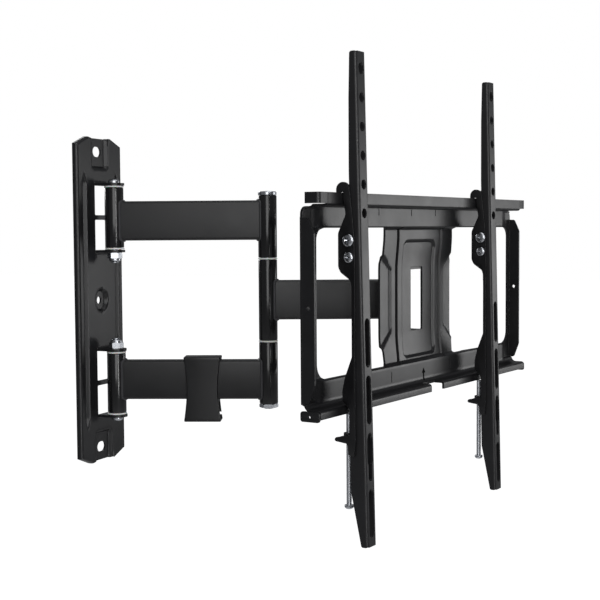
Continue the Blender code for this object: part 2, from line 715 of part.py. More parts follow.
def make_bracket(side, slide):
    """Two cheeks joined by a bridge behind the bolts and a tab below the lower lip."""
    outer = RAIL_WIDTH / 2 + GAP + SHEET
    inner = outer - SHEET
    outline = [(ahead(h), z) for h, z in bracket_outline()]
    pivot = circle((ahead(PIVOT_FORWARD), PIVOT_HEIGHT), 2.5 + GAP, 20)
    lock = slot((ahead(PIVOT_FORWARD), PIVOT_HEIGHT - LOCK_DROP), 9.4, 5.6, 6)
    cheeks = [extrude(outline, x0, x1, "yz", [pivot, lock]) for x0, x1 in ((-outer, -inner), (inner, outer))]
    bridge = box(-outer + 0.5, outer - 0.5, ahead(17.3), ahead(15.1), 40, 65)
    tab = box(-outer + 0.5, outer - 0.5, ahead(21.8), ahead(10.8), TAB_HEIGHT - 1.6, TAB_HEIGHT + 0.6)
    bracket = join(cheeks[0], cheeks[1], bridge, tab)
    hole = moved(lathe([(0, -100), (2.5 + GAP, -100), (2.5 + GAP, -130), (0, -130)], 24), y=ahead(SCREW_FORWARD))
    add_piece(side + "_hook_bracket", cut(bracket, hole), PAINT, slide)
    nut = hex_nut(8, 2.5 + GAP, TAB_HEIGHT + 0.6 + GAP, TAB_HEIGHT + 4.8)
    add_piece(side + "_tab_nut", moved(nut, y=ahead(SCREW_FORWARD)), PAINT, slide)


def cross_bolt(parent, name, head_radius, y, z):
    """A bolt through both cheeks: cross-slotted head on the left, nut on the right."""
    face = RAIL_WIDTH / 2 + GAP + SHEET + GAP
    shank = bolt(2.5, head_radius, 2.6, face, -face - 5.4, 0.9)
    slot_depth = face + 1.3
    shank = cut(shank, box(-head_radius * 0.62, head_radius * 0.62, -0.6, 0.6, slot_depth, face + 5),
                box(-0.6, 0.6, -head_radius * 0.62, head_radius * 0.62, slot_depth, face + 5))
    turned = Matrix.Rotation(math.radians(-90), 4, "Y")
    add_piece(name + "_bolt", moved(placed(shank, turned), y=y, z=z), ZINC, parent)
    nut = hex_nut(8, 2.5 + GAP, face, face + 4)
    add_piece(name + "_nut", moved(placed(nut, ALONG_X), y=y, z=z), ZINC, parent)


def rail_flange():
    """The side flange of a TV rail as (distance behind its face, height above the tilt bolt)."""
    front = [(0, RAIL_BOTTOM), (0, RAIL_TOP)]
    back = [(6.7, RAIL_TOP), (8.5, RAIL_TOP - 40), (10, 60), (10, 16), (14.6, 7), (15.6, 3), (15.6, -20),
            (14, -26), (10, -36), (10, -181), (15.2, -187), (15.2, -222), (6.4, RAIL_BOTTOM)]
    return front + back


def make_rail(side, tilt):
    """A channel: a front web with screw holes and slots, and two shaped side flanges."""
    half = RAIL_WIDTH / 2
    face = -PIVOT_TO_FACE
    profile = [(face + d, z) for d, z in rail_flange()]
    holes = [circle((0, 0), 2.5 + GAP, 20), circle((0, -LOCK_DROP), 2.5 + GAP, 20)]
    rail = extrude(profile, -half, half, "yz", holes)
    core = box(-half + RAIL_SHEET, half - RAIL_SHEET, face + RAIL_SHEET, 40, RAIL_BOTTOM - 5, RAIL_TOP + 5)
    openings = []
    for i in range(6):
        height = RAIL_TOP - 14.6 - 25 * i
        openings.append(slot((0, height), 8.5, 8.51 if i else 10.5))
    for i in range(4):
        height = -89.8 - 50.1 * i
        openings.append(slot((0, height), 8.5 if i != 2 else 6.4, 43))
    wide = slot((0, -184.5), 9.6, 27)
    cutters = [extrude(points, -face - RAIL_SHEET - 1, -face + 1, "xz") for points in openings]
    cutters.append(extrude(wide, -face - RAIL_SHEET - 1, -face + 1, "xz"))
    add_piece(side + "_tv_rail", cut(rail, core, *cutters), RAIL_PAINT, tilt)
    cross_bolt(tilt, side + "_tilt", 5.4, 0, 0)
    cross_bolt(tilt, side + "_lock", 4.6, 0, -LOCK_DROP)


def make_safety_screw(side, travel):
    """A long screw that is driven up against the lower lip; its head is at the bottom."""
    tip = LOWER_LIP_BOTTOM - 0.6
    length = 81.5
    screw = bolt(2.5, 4.2, 3.8, tip - length, tip, 1.2)
    screw = cut(screw, box(-2.6, 2.6, -0.5, 0.5, tip - length - 5, tip - length - 2.2),
                box(-0.5, 0.5, -2.6, 2.6, tip - length - 5, tip - length - 2.2))
    add_piece(side + "_safety_screw", screw, ZINC, travel)


# ---- the whole mount ----

wall = add_axis("wall_origin", None, (0, 0, 0))
make_wall_plate(wall)
make_wall_hinges(wall)

wall_hinge = add_axis("wall_hinge_axis", wall, (0, -WALL_AXIS, 0), turn_z=-INNER_ANGLE)
make_inner_arms(wall_hinge)
clip_axis = add_axis("cable_clip_slide", wall_hinge, (CLIP_CENTRE, 0, 0))
make_cable_clip(clip_axis)

elbow = add_axis("elbow_axis", wall_hinge, (INNER_ARM, 0, 0), turn_z=INNER_ANGLE - OUTER_ANGLE)
make_outer_arm(elbow)

swivel_axis = add_axis("swivel_axis", elbow, (OUTER_ARM, 0, 0), turn_z=OUTER_ANGLE - PLATE_TURN)
make_tv_plate(swivel_axis)
make_swivel(swivel_axis)
make_end_caps(swivel_axis)

for rail_side, rail_x in RAIL_CENTRES.items():
    slide_axis = add_axis(rail_side + "_bracket_slide", swivel_axis, (rail_x, 0, 0))
    make_bracket(rail_side, slide_axis)
    screw_axis = add_axis(rail_side + "_screw_travel", slide_axis, (0, ahead(SCREW_FORWARD), 0))
    make_safety_screw(rail_side, screw_axis)
    tilt_axis = add_axis(rail_side + "_tilt_axis", slide_axis, (0, ahead(PIVOT_FORWARD), PIVOT_HEIGHT),
                         turn_x=-RAIL_LEAN)
    make_rail(rail_side, tilt_axis)
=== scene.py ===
# %% [markdown]
# # A full motion TV wall mount in black powder-coated steel
# The mount is a stack of pressed sheet, flat tube and turned barrels, all powder coated black, held
# together with bright zinc bolts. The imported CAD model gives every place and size. This lesson makes the
# same pieces again with what the eye looks for: bend radii, pressed grooves, weld beads, threads and
# the slight orange peel of the coating.

import math

import bmesh
import bpy
from mathutils import Matrix, Vector


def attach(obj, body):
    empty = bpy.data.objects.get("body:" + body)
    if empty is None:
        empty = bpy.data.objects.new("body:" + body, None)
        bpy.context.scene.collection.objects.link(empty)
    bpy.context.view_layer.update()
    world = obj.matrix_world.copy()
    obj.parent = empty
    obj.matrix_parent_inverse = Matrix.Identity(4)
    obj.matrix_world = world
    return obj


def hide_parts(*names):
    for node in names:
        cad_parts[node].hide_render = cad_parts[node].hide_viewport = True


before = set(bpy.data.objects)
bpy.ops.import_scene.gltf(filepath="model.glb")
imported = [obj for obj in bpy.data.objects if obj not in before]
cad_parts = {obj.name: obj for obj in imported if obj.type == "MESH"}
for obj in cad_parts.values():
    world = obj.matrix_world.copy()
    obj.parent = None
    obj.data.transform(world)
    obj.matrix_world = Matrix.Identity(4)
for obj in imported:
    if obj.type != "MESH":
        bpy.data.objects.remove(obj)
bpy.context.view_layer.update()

# %% [markdown]
# ## Sizes
# Sheet metal work is drawn in millimetres, so the lesson keeps millimetres too and turns them into
# metres only when a mesh is made. The names below are the dimensions a maker would write on the drawing.

# %% The dimensions that several pieces share
MM = 0.001
SHEET = 2.2
WALL_AXIS = 22.2
INNER_ARM = 156.4
OUTER_ARM = 135.0
INNER_ANGLE = 67.95
OUTER_ANGLE = 65.78
PLATE_TURN = 8.59
PLATE_SETBACK = 22.5
BARREL_RADIUS = 9.5
BARREL_BORE = 6.0
TUBE_HEIGHT = 40.0
TUBE_DEPTH = 15.0
TUBE_BOTTOM = 61.1
RAIL_CENTRES = {"left": -175.4, "right": 100.6}
PIVOT_FORWARD = 25.7
PIVOT_HEIGHT = 61.6
SCREW_FORWARD = 19.0
RAIL_WIDTH = 16.5
RAIL_LEAN = 1.34
GAP = 0.3

# %% [markdown]
# ## Where each moving part stands
# A chain of matrices does what the real joints do: each axis is placed in the space of the part before
# it, so a piece can be drawn about its own axis and still land exactly on its CAD node.

# %% One matrix per moving part


def shift(x=0.0, y=0.0, z=0.0):
    return Matrix.Translation(Vector((x, y, z)) * MM)


def turn(degrees, axis="Z"):
    return Matrix.Rotation(math.radians(degrees), 4, axis)


WALL = Matrix.Identity(4)
INNER = shift(y=-WALL_AXIS) @ turn(-INNER_ANGLE)
CLIP = INNER @ shift(89.0)
OUTER = INNER @ shift(INNER_ARM) @ turn(INNER_ANGLE - OUTER_ANGLE)
PLATE = OUTER @ shift(OUTER_ARM) @ turn(OUTER_ANGLE - PLATE_TURN)
BRACKET = {side: PLATE @ shift(x) for side, x in RAIL_CENTRES.items()}
TILT = {side: BRACKET[side] @ shift(0, -PIVOT_FORWARD - PLATE_SETBACK, PIVOT_HEIGHT) @ turn(-RAIL_LEAN, "X")
        for side in RAIL_CENTRES}
print("swivel axis stands at", [round(v / MM, 1) for v in PLATE.translation])

# %% [markdown]
# ## The camera and the light
# The mount is seen from its left and a little above its middle, with a moderately long lens. A large
# soft light stands where the front faces mirror it, because black paint is almost only reflection: what
# it mirrors decides how each face reads. A narrow strip light draws the bright line down the barrels, and
# a light from behind keeps the back readable. The backdrop is pure white to the camera alone, so it
# doesn't wash out the black.

# %% Camera
camera_data = bpy.data.cameras.new("camera")
camera_data.sensor_width = 36
camera_data.lens = 72.62
camera = bpy.data.objects.new("camera", camera_data)
camera.location = (-1.05232, -0.70077, 0.07098)
camera.rotation_euler = [math.radians(a) for a in (86.680, 0.379, -65.882)]
bpy.context.scene.collection.objects.link(camera)
bpy.context.scene.camera = camera
print("camera is", round(camera.location.length, 2), "m from the wall plate")


# %% Colours and the node helper


def linear(hex_colour):
    """An sRGB hex colour as the linear RGBA that the shaders work in."""
    channels = [int(hex_colour[i:i + 2], 16) / 255 for i in (1, 3, 5)]
    return [c / 12.92 if c <= 0.04045 else ((c + 0.055) / 1.055) ** 2.4 for c in channels] + [1.0]


def add_node(tree, kind, values=None, links=None, **settings):
    """Adds a node, sets its options and socket values, and links other sockets into it."""
    node = tree.nodes.new(kind)
    for name, value in settings.items():
        setattr(node, name, value)
    for socket, value in (values or {}).items():
        node.inputs[socket].default_value = value
    for socket, source in (links or {}).items():
        tree.links.new(source, node.inputs[socket])
    return node


# %% Lights
TARGET = Vector((0.11, -0.20, 0.0))  # about the middle of the mount, in metres


def area_light(name, place, width, height, watts):
    """A white rectangular lamp, out of the camera's sight, that faces the middle of the mount."""
    light = bpy.data.lights.new(name, "AREA")
    light.shape = "RECTANGLE"
    light.size = width
    light.size_y = height
    light.energy = watts
    holder = bpy.data.objects.new(name, light)
    holder.location = place
    holder.rotation_euler = (TARGET - Vector(place)).to_track_quat("-Z", "Y").to_euler()
    holder.visible_camera = False
    bpy.context.scene.collection.objects.link(holder)


area_light("front_softbox", (1.45, -1.88, -0.02), 1.45, 0.6, 7.0)
area_light("top_softbox", (-0.1, -0.6, 1.7), 1.6, 1.2, 8)
area_light("camera_fill", (-1.7, -1.0, 0.55), 1.0, 1.6, 10)
area_light("barrel_strip", (-1.25, -1.75, 0.15), 0.12, 1.8, 9)
area_light("back_fill", (1.3, 1.9, 0.9), 1.4, 1.2, 20)
print("five soft lights")

# %% World and floor
world = bpy.data.worlds.new("studio_air")
bpy.context.scene.world = world
bpy.context.scene.view_settings.view_transform = "Standard"
world.use_nodes = True
air = world.node_tree
air.nodes.clear()
seen = add_node(air, "ShaderNodeBackground", {"Color": linear("#ffffff"), "Strength": 1.0})
glow = add_node(air, "ShaderNodeBackground", {"Color": linear("#f4f6fa"), "Strength": 0.15})
ray = add_node(air, "ShaderNodeLightPath")
both = add_node(air, "ShaderNodeMixShader", links={0: ray.outputs["Is Camera Ray"], 1: glow.outputs[0],
                                                   2: seen.outputs[0]})
add_node(air, "ShaderNodeOutputWorld", links={"Surface": both.outputs[0]})

floor_material = bpy.data.materials.new("white_paper_sweep")
floor_material.use_nodes = True
paper = floor_material.node_tree
paper_shader = paper.nodes["Principled BSDF"]
paper_shader.inputs["Base Color"].default_value = linear("#f6f6f6")
paper_shader.inputs["Roughness"].default_value = 0.9
paper_ray = add_node(paper, "ShaderNodeLightPath")
paper_lit = add_node(paper, "ShaderNodeEmission", {"Color": linear("#ffffff"), "Strength": 0.93})
paper_glow = add_node(paper, "ShaderNodeMixShader", links={0: paper_ray.outputs["Is Camera Ray"],
                                                           2: paper_lit.outputs[0]})
paper_sum = add_node(paper, "ShaderNodeAddShader",
                     links={0: paper_shader.outputs[0], 1: paper_glow.outputs[0]})
paper.links.new(paper_sum.outputs[0], paper.nodes["Material Output"].inputs["Surface"])
FLOOR_HALF = 30.0
FLOOR_HEIGHT = -1.3
floor_mesh = bpy.data.meshes.new("floor")
corners = [(x * FLOOR_HALF, y * FLOOR_HALF, FLOOR_HEIGHT) for x, y in ((-1, -1), (1, -1), (1, 1), (-1, 1))]
floor_mesh.from_pydata(corners, [], [(0, 1, 2, 3)])
floor_mesh.materials.append(floor_material)
floor = bpy.data.objects.new("floor", floor_mesh)
bpy.context.scene.collection.objects.link(floor)
print("a pale floor 1.3 m below the middle of the mount, as under a TV on a wall")

# %% [markdown]
# ## Powder coat
# Powder is sprayed on dry and baked until it flows together. It stays a little uneven, like the skin of
# an orange, with bumps one to two millimetres across, and that breaks up reflections. The Bevel node
# rounds the shading of sharp edges as the flowing powder does. The TV rails get a slightly greyer coat.
# The rough weld beads hold less powder, and their paler colour is also a painted sheen for the light they
# catch, so they read as paler slivers.

# %% The coated steel materials
CLOUD_MM = 28


def coat_material(name, slot_name, colour, sheen_colour, roughness, peel_mm=1.5, peel=0.10, spread=0.09,
                  edge_mm=0.45, coat=0.0):
    """A painted or moulded surface: two close colours, uneven gloss, orange peel and eased edges.

    The gloss varies over patches CLOUD_MM wide, which breaks up a long face's reflection.
    """
    material = bpy.data.materials.new(name)
    material.use_nodes = True
    material["slot"] = slot_name
    tree = material.node_tree
    shader = tree.nodes["Principled BSDF"]
    shader.inputs["Coat Weight"].default_value = coat
    shader.inputs["Coat Roughness"].default_value = 0.12
    place = add_node(tree, "ShaderNodeTexCoord").outputs["Object"]
    cloud = add_node(tree, "ShaderNodeTexNoise",
                     {"Scale": 1 / (CLOUD_MM * MM), "Detail": 4.0, "Roughness": 0.6}, {"Vector": place})
    skin = add_node(tree, "ShaderNodeTexNoise", {"Scale": 1 / (peel_mm * MM), "Detail": 2.0},
                    {"Vector": place})
    tint = add_node(tree, "ShaderNodeMix", {"A": linear(colour), "B": linear(sheen_colour)},
                    {"Factor": cloud.outputs["Fac"]}, data_type="RGBA")
    gloss = add_node(tree, "ShaderNodeMapRange", {"To Min": roughness - spread, "To Max": roughness + spread},
                     {"Value": cloud.outputs["Fac"]})
    eased = add_node(tree, "ShaderNodeBevel", {"Radius": edge_mm * MM}, samples=4)
    bump = add_node(tree, "ShaderNodeBump", {"Strength": peel, "Distance": 0.1 * MM},
                    {"Height": skin.outputs["Fac"], "Normal": eased.outputs["Normal"]})
    tree.links.new(tint.outputs["Result"], shader.inputs["Base Color"])
    tree.links.new(gloss.outputs["Result"], shader.inputs["Roughness"])
    tree.links.new(bump.outputs["Normal"], shader.inputs["Normal"])
    return material


POWDER = coat_material("satin_black_powder_coat", "black_powder_coat", "#131314", "#1d1d1f", 0.31)
GLOSSY = coat_material("gloss_black_enamel", "black_powder_coat", "#0e0e0f", "#161617", 0.22, coat=0.5)
RAIL_POWDER = coat_material("grey_black_powder_coat", "rail_powder_coat", "#1a1a1b", "#252527", 0.33)
# painted sheen: the beads' paler colours stand in for the light their rough ripples catch
WELD_SHEEN = coat_material("weld_bead_painted_sheen", "black_powder_coat", "#2b2b2d", "#404043", 0.40, peel_mm=0.8)
print(POWDER.name, GLOSSY.name, RAIL_POWDER.name, WELD_SHEEN.name)

# %% [markdown]
# ## Moulded plastic and nylon
# The cable clip and the end caps are injection-moulded polypropylene with a fine spark-eroded grain.
# The washers between barrels are white nylon: it lets a little light in, so it has a soft glow.

# %% Plastic materials
MOULDED = coat_material("moulded_polypropylene", "black_plastic", "#121213", "#1b1b1d", 0.34, peel_mm=0.6,
                        peel=0.16, edge_mm=0.6)
NYLON = coat_material("turned_nylon", "white_nylon", "#f2f2ee", "#fafaf8", 0.40, peel_mm=0.8, peel=0.05,
                      edge_mm=0.25)
nylon_shader = NYLON.node_tree.nodes["Principled BSDF"]
nylon_shader.inputs["Subsurface Weight"].default_value = 0.15
nylon_shader.inputs["Subsurface Scale"].default_value = 1.0 * MM
print(MOULDED.name, NYLON.name)

# %% [markdown]
# ## Bright zinc plating
# Bolts and nuts are steel with a few microns of bright zinc. It is a metal, so its colour lives in the
# reflection. The plating bath leaves a faint cloudiness a few millimetres across, in colour and gloss.

# %% The zinc material
PLATING_CLOUD_MM = 4
ZINC = bpy.data.materials.new("bright_zinc_plated_steel")
ZINC.use_nodes = True
ZINC["slot"] = "zinc_plated_steel"
zinc_tree = ZINC.node_tree
zinc_shader = zinc_tree.nodes["Principled BSDF"]
zinc_shader.inputs["Metallic"].default_value = 1.0
zinc_place = add_node(zinc_tree, "ShaderNodeTexCoord").outputs["Object"]
zinc_cloud = add_node(zinc_tree, "ShaderNodeTexNoise", {"Scale": 1 / (PLATING_CLOUD_MM * MM), "Detail": 3.0},
                      {"Vector": zinc_place})
zinc_tint = add_node(zinc_tree, "ShaderNodeMix", {"A": linear("#b9bdc4"), "B": linear("#e4e6ea")},
                     {"Factor": zinc_cloud.outputs["Fac"]}, data_type="RGBA")
zinc_gloss = add_node(zinc_tree, "ShaderNodeMapRange", {"To Min": 0.16, "To Max": 0.34},
                      {"Value": zinc_cloud.outputs["Fac"]})
zinc_edge = add_node(zinc_tree, "ShaderNodeBevel", {"Radius": 0.2 * MM}, samples=4)
zinc_tree.links.new(zinc_tint.outputs["Result"], zinc_shader.inputs["Base Color"])
zinc_tree.links.new(zinc_gloss.outputs["Result"], zinc_shader.inputs["Roughness"])
zinc_tree.links.new(zinc_edge.outputs["Normal"], zinc_shader.inputs["Normal"])
print(ZINC.name)

# %% [markdown]
# ## Outlines
# Most of this mount is cut or bent sheet, so its shapes start as flat outlines: straight lines whose
# corners are rounded by a bend or a punch. These functions return lists of points in millimetres.

# %% Outline helpers


def arc(centre, radius, start, end, steps=10):
    angles = [math.radians(start + (end - start) * i / steps) for i in range(steps + 1)]
    return [(centre[0] + radius * math.cos(a), centre[1] + radius * math.sin(a)) for a in angles]


def circle(centre, radius, steps=48):
    return arc(centre, radius, 0, 360 - 360 / steps, steps - 1)


def rectangle(x0, x1, z0, z1):
    return [(x0, z0), (x1, z0), (x1, z1), (x0, z1)]


def rounded(points, radius, steps=6, closed=True):
    """Replaces each corner with an arc; radius is one number or one per corner."""
    count = len(points)
    radii = radius if isinstance(radius, (list, tuple)) else [radius] * count
    result = []
    for i, point in enumerate(points):
        corner = Vector(point)
        if radii[i] <= 0 or (not closed and i in (0, count - 1)):
            result.append(tuple(corner))
            continue
        before = (Vector(points[i - 1]) - corner).normalized()
        after = (Vector(points[(i + 1) % count]) - corner).normalized()
        half = before.angle(after) / 2
        reach = radii[i] / math.tan(half)
        centre = corner + (before + after).normalized() * radii[i] / math.sin(half)
        first = corner + before * reach - centre
        sweep = first.angle_signed(corner + after * reach - centre)
        for k in range(steps + 1):
            spoke = Matrix.Rotation(-sweep * k / steps, 2) @ first
            result.append(tuple(centre + spoke))
    return result


def slot(centre, width, height, steps=10):
    """A hole with round ends along its longer side."""
    x, z = centre
    radius = min(width, height) / 2
    if height >= width:
        reach = height / 2 - radius
        return arc((x, z + reach), radius, 0, 180, steps) + arc((x, z - reach), radius, 180, 360, steps)
    reach = width / 2 - radius
    return arc((x + reach, z), radius, -90, 90, steps) + arc((x - reach, z), radius, 90, 270, steps)


def strip(path, thickness):
    """The closed outline of bent sheet that follows a centre line."""
    left, right = [], []
    for i, point in enumerate(path):
        here = Vector(point)
        before = (here - Vector(path[i - 1])).normalized() if i > 0 else None
        after = (Vector(path[i + 1]) - here).normalized() if i < len(path) - 1 else None
        along = ((before or after) + (after or before)).normalized()
        across = Vector((-along.y, along.x))
        stretch = 1 / max(0.3, along.dot(after or before))
        left.append(tuple(here + across * thickness / 2 * stretch))
        right.append(tuple(here - across * thickness / 2 * stretch))
    return left + right[::-1]


print("a 43 mm slot has", len(slot((0, 0), 8.5, 43)), "points")

# %% [markdown]
# ## Solids
# An outline becomes a solid in one of three ways: pushed through (cut plate), turned about Z (barrels,
# bolts) or pressed (a grid of points whose depth follows a function, then given the sheet's thickness).
# Booleans punch the holes, as the press tool does.

# %% Solid helpers
PLANES = {
    "xz": Matrix(((1, 0, 0, 0), (0, 0, -1, 0), (0, 1, 0, 0), (0, 0, 0, 1))),
    "xy": Matrix.Identity(4),
    "yz": Matrix(((0, 0, 1, 0), (1, 0, 0, 0), (0, 1, 0, 0), (0, 0, 0, 1))),
}


def finished(solid, mesh=None, merge=0.00001):
    """Merges doubles, turns faces outwards and returns the mesh."""
    bmesh.ops.remove_doubles(solid, verts=solid.verts, dist=merge)
    bmesh.ops.recalc_face_normals(solid, faces=solid.faces)
    mesh = mesh or bpy.data.meshes.new("solid")
    solid.to_mesh(mesh)
    solid.free()
    return mesh


def extrude(outline, start, end, plane="xy", holes=()):
    """Pushes an outline with holes from start to end along the axis square to its plane."""
    curve = bpy.data.curves.new("outline", "CURVE")
    curve.dimensions = "2D"
    curve.fill_mode = "BOTH"
    curve.extrude = (end - start) / 2 * MM
    for points in (outline, *holes):
        spline = curve.splines.new("POLY")
        spline.points.add(len(points) - 1)
        for target, point in zip(spline.points, points):
            target.co = (point[0] * MM, point[1] * MM, 0, 1)
        spline.use_cyclic_u = True
    holder = bpy.data.objects.new("outline", curve)
    mesh = bpy.data.meshes.new_from_object(holder)
    bpy.data.objects.remove(holder)
    solid = bmesh.new()
    solid.from_mesh(mesh)
    bmesh.ops.transform(solid, verts=solid.verts, matrix=PLANES[plane] @ shift(z=(start + end) / 2))
    return finished(solid, mesh)


def box(x0, x1, y0, y1, z0, z1):
    return extrude(rectangle(x0, x1, y0, y1), z0, z1, "xy")


def lathe(profile, steps=64):
    """Turns an open or closed profile of (radius, height) points about Z."""
    solid = bmesh.new()
    points = [solid.verts.new((r * MM, 0, z * MM)) for r, z in profile]
    for first, second in zip(points, points[1:]):
        solid.edges.new((first, second))
    bmesh.ops.spin(solid, geom=solid.verts[:] + solid.edges[:], cent=(0, 0, 0), axis=(0, 0, 1),
                   angle=2 * math.pi, steps=steps, use_merge=True)
    return finished(solid)


def ring(outer, inner, bottom, top, edge):
    """A tube, bush or washer with eased edges."""
    profile = [(inner, top), (outer - edge, top), (outer - edge * 0.3, top - edge * 0.3),
               (outer, top - edge), (outer, bottom + edge), (outer - edge * 0.3, bottom + edge * 0.3),
               (outer - edge, bottom), (inner, bottom), (inner, top)]
    return lathe(profile)


def placed(mesh, matrix):
    """Moves or mirrors a mesh, and keeps its faces outwards."""
    mesh.transform(matrix)
    if matrix.determinant() < 0:
        mesh.flip_normals()
    return mesh


def merged(*meshes):
    """Several meshes as one, without joining their surfaces."""
    solid = bmesh.new()
    for mesh in meshes:
        solid.from_mesh(mesh)
    result = bpy.data.meshes.new("merged")
    solid.to_mesh(result)
    solid.free()
    return result


def combined(base, operation, *tools, solver="EXACT"):
    """Applies Boolean modifiers, one for each tool. The MANIFOLD solver suits dense closed sheets."""
    holder = bpy.data.objects.new("work", base)
    bpy.context.scene.collection.objects.link(holder)
    helpers = []
    for mesh in tools:
        helper = bpy.data.objects.new("tool", mesh)
        bpy.context.scene.collection.objects.link(helper)
        modifier = holder.modifiers.new("Boolean", "BOOLEAN")
        modifier.operation = operation
        modifier.solver = solver
        modifier.object = helper
        helpers.append(helper)
    bpy.context.view_layer.update()
    graph = bpy.context.evaluated_depsgraph_get()
    result = bpy.data.meshes.new_from_object(holder.evaluated_get(graph))
    for item in (holder, *helpers):
        bpy.data.objects.remove(item)
    return result


def cut(base, *tools, solver="EXACT"):
    return combined(base, "DIFFERENCE", *tools, solver=solver)


def softened(mesh, width, segments=2, angle=35):
    """A real bevel along every sharp edge."""
    holder = bpy.data.objects.new("work", mesh)
    bpy.context.scene.collection.objects.link(holder)
    bevel = holder.modifiers.new("Bevel", "BEVEL")
    bevel.width = width * MM
    bevel.segments = segments
    bevel.limit_method = "ANGLE"
    bevel.angle_limit = math.radians(angle)
    bpy.context.view_layer.update()
    graph = bpy.context.evaluated_depsgraph_get()
    result = bpy.data.meshes.new_from_object(holder.evaluated_get(graph))
    bpy.data.objects.remove(holder)
    return result


def pressed(rows, thickness=SHEET):
    """A grid of points in millimetres, given the sheet's thickness to both sides."""
    solid = bmesh.new()
    grid = [[solid.verts.new(Vector(point) * MM) for point in row] for row in rows]
    for lower, upper in zip(grid, grid[1:]):
        for i in range(len(lower) - 1):
            solid.faces.new((lower[i], lower[i + 1], upper[i + 1], upper[i]))
    mesh = finished(solid, merge=1e-7)
    holder = bpy.data.objects.new("work", mesh)
    bpy.context.scene.collection.objects.link(holder)
    thicken = holder.modifiers.new("Thickness", "SOLIDIFY")
    thicken.thickness = thickness * MM
    thicken.offset = 0
    thicken.use_even_offset = True
    bpy.context.view_layer.update()
    graph = bpy.context.evaluated_depsgraph_get()
    result = bpy.data.meshes.new_from_object(holder.evaluated_get(graph))
    bpy.data.objects.remove(holder)
    return result


# %% [markdown]
# ## Putting a piece in place
# Every piece is drawn about its own axis, gets smooth shading with sharp creases kept, is placed by its
# part's matrix, and then rides on the CAD body of the same joint and stands for its CAD nodes.

# %% The piece function
CREASE_ANGLE = 32
made = []


def piece(name, mesh, material, body, place, nodes=()):
    """Makes a smooth-shaded object that rides on body, takes its material's slot and replaces nodes."""
    mesh.name = name
    mesh.materials.clear()
    mesh.materials.append(material)
    for face in mesh.polygons:
        face.use_smooth = True
    mesh.set_sharp_from_angle(angle=math.radians(CREASE_ANGLE))
    thing = bpy.data.objects.new(name, mesh)
    bpy.context.scene.collection.objects.link(thing)
    thing.matrix_world = place
    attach(thing, body)
    if nodes:
        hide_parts(*nodes)
    made.append(name)


# %% [markdown]
# ## Drawing pressed sheet
# A pressing is a depth for every point of the sheet. Three small functions are enough to draw one: a
# soft step, the distance inside a rounded rectangle, and evenly spaced grid lines.

# %% Helpers for pressed sheet


def smooth(t):
    """A soft step from 0 to 1, the way sheet flows over a die edge."""
    t = min(1.0, max(0.0, t))
    return t * t * (3 - 2 * t)


def inside(x, z, half_x, z0, z1, radius):
    """How far a point lies inside a rounded rectangle, negative when outside."""
    dx = abs(x) - (half_x - radius)
    dz = abs(z - (z0 + z1) / 2) - ((z1 - z0) / 2 - radius)
    return radius - math.hypot(max(dx, 0), max(dz, 0)) - min(max(dx, dz), 0)


def spread(start, end, step):
    """Evenly spaced numbers no further apart than step, both ends included."""
    count = max(1, math.ceil((end - start) / step))
    return [start + (end - start) * i / count for i in range(count + 1)]


print("a soft step halfway up is", smooth(0.5))

# %% [markdown]
# ## The wall plate
# A press forms the plate in one stroke: its sides turn back to the wall, two long grooves stiffen it,
# and a pad sinks round each lag bolt slot so the bolt pulls the plate flat on the wall. A grid whose
# depth is a function gives those soft shapes; the windows are punched and their tongues become ears.

# %% Depth of the pressing
FRONT = -4.9  # middle of the sheet at the front face
WALL_HALF_WIDTH = 39.4
WALL_END = 165.4
SHOULDER = 158.0
SHOULDER_TAPER = 19
SIDE_BEND = 2.6
GROOVE_AT = 28.7
LAG_HEIGHT = 152.0


def wall_depth(x, z):
    """The y of the middle of the sheet: grooves fade out at their ends, pads and dimple sink to the wall."""
    groove_half = 4.3 * min(1.0, max(0.0, (131 - abs(z)) / 11))
    groove = smooth((groove_half - abs(abs(x) - GROOVE_AT)) / 2.6 + 0.15) if groove_half > 0 else 0
    pad = smooth(inside(x, abs(z), 15.8, 133.5, 200, 5) / 3.2)
    dimple = smooth((12.6 - math.hypot(x, z)) / 3.0)
    return FRONT + max(3.4 * groove, 3.75 * pad, 3.75 * dimple)


def wall_row(z):
    """One level line across the plate, from one side's edge at the wall to the other's."""
    half = WALL_HALF_WIDTH
    if abs(z) > SHOULDER:
        half -= SHOULDER_TAPER * (abs(z) - SHOULDER) / (WALL_END - SHOULDER)
    bend = arc((half - SIDE_BEND, FRONT + SIDE_BEND), SIDE_BEND, 0, -90, 5)
    row = [(half, 0.0)] + bend
    flat = [half - SIDE_BEND - (2 * half - 2 * SIDE_BEND) * i / 110 for i in range(1, 110)]
    row += [(x, wall_depth(x, z)) for x in flat]
    row += [(-x, y) for x, y in reversed(bend)] + [(-half, 0.0)]
    return [(x, y, z) for x, y in row]


wall_heights = spread(-WALL_END, -SHOULDER, 0.9)[:-1] + spread(-SHOULDER, SHOULDER, 1.25)
wall_heights += spread(SHOULDER, WALL_END, 0.9)[1:]
wall_sheet = pressed([wall_row(z) for z in wall_heights])
print("wall plate grid:", len(wall_sheet.polygons), "faces")

# %% Punched slots and windows
punches = [extrude(circle((0, 0), 4), -3, 12, "xz")]
for side in (-1, 1):
    punches.append(extrude(slot((0, side * LAG_HEIGHT), 15, 10.5), -3, 12, "xz"))
    for low, high in ((51.0, 82.5), (87.3, 118.4)):
        low, high = sorted((side * low, side * high))
        window = rounded(rectangle(-10.5, 10.5, low, high), 1.2, 4)
        punches.append(extrude(window, -3, 12, "xz"))
wall_sheet = cut(wall_sheet, *punches, solver="MANIFOLD")
print("punched wall plate:", len(wall_sheet.polygons), "faces")

# %% Ears bent out of the windows
EAR_SHEET = 2.4
EAR_BEND = 2.6
EAR_RADIUS = 10.5
HINGE_BORE = 4.3


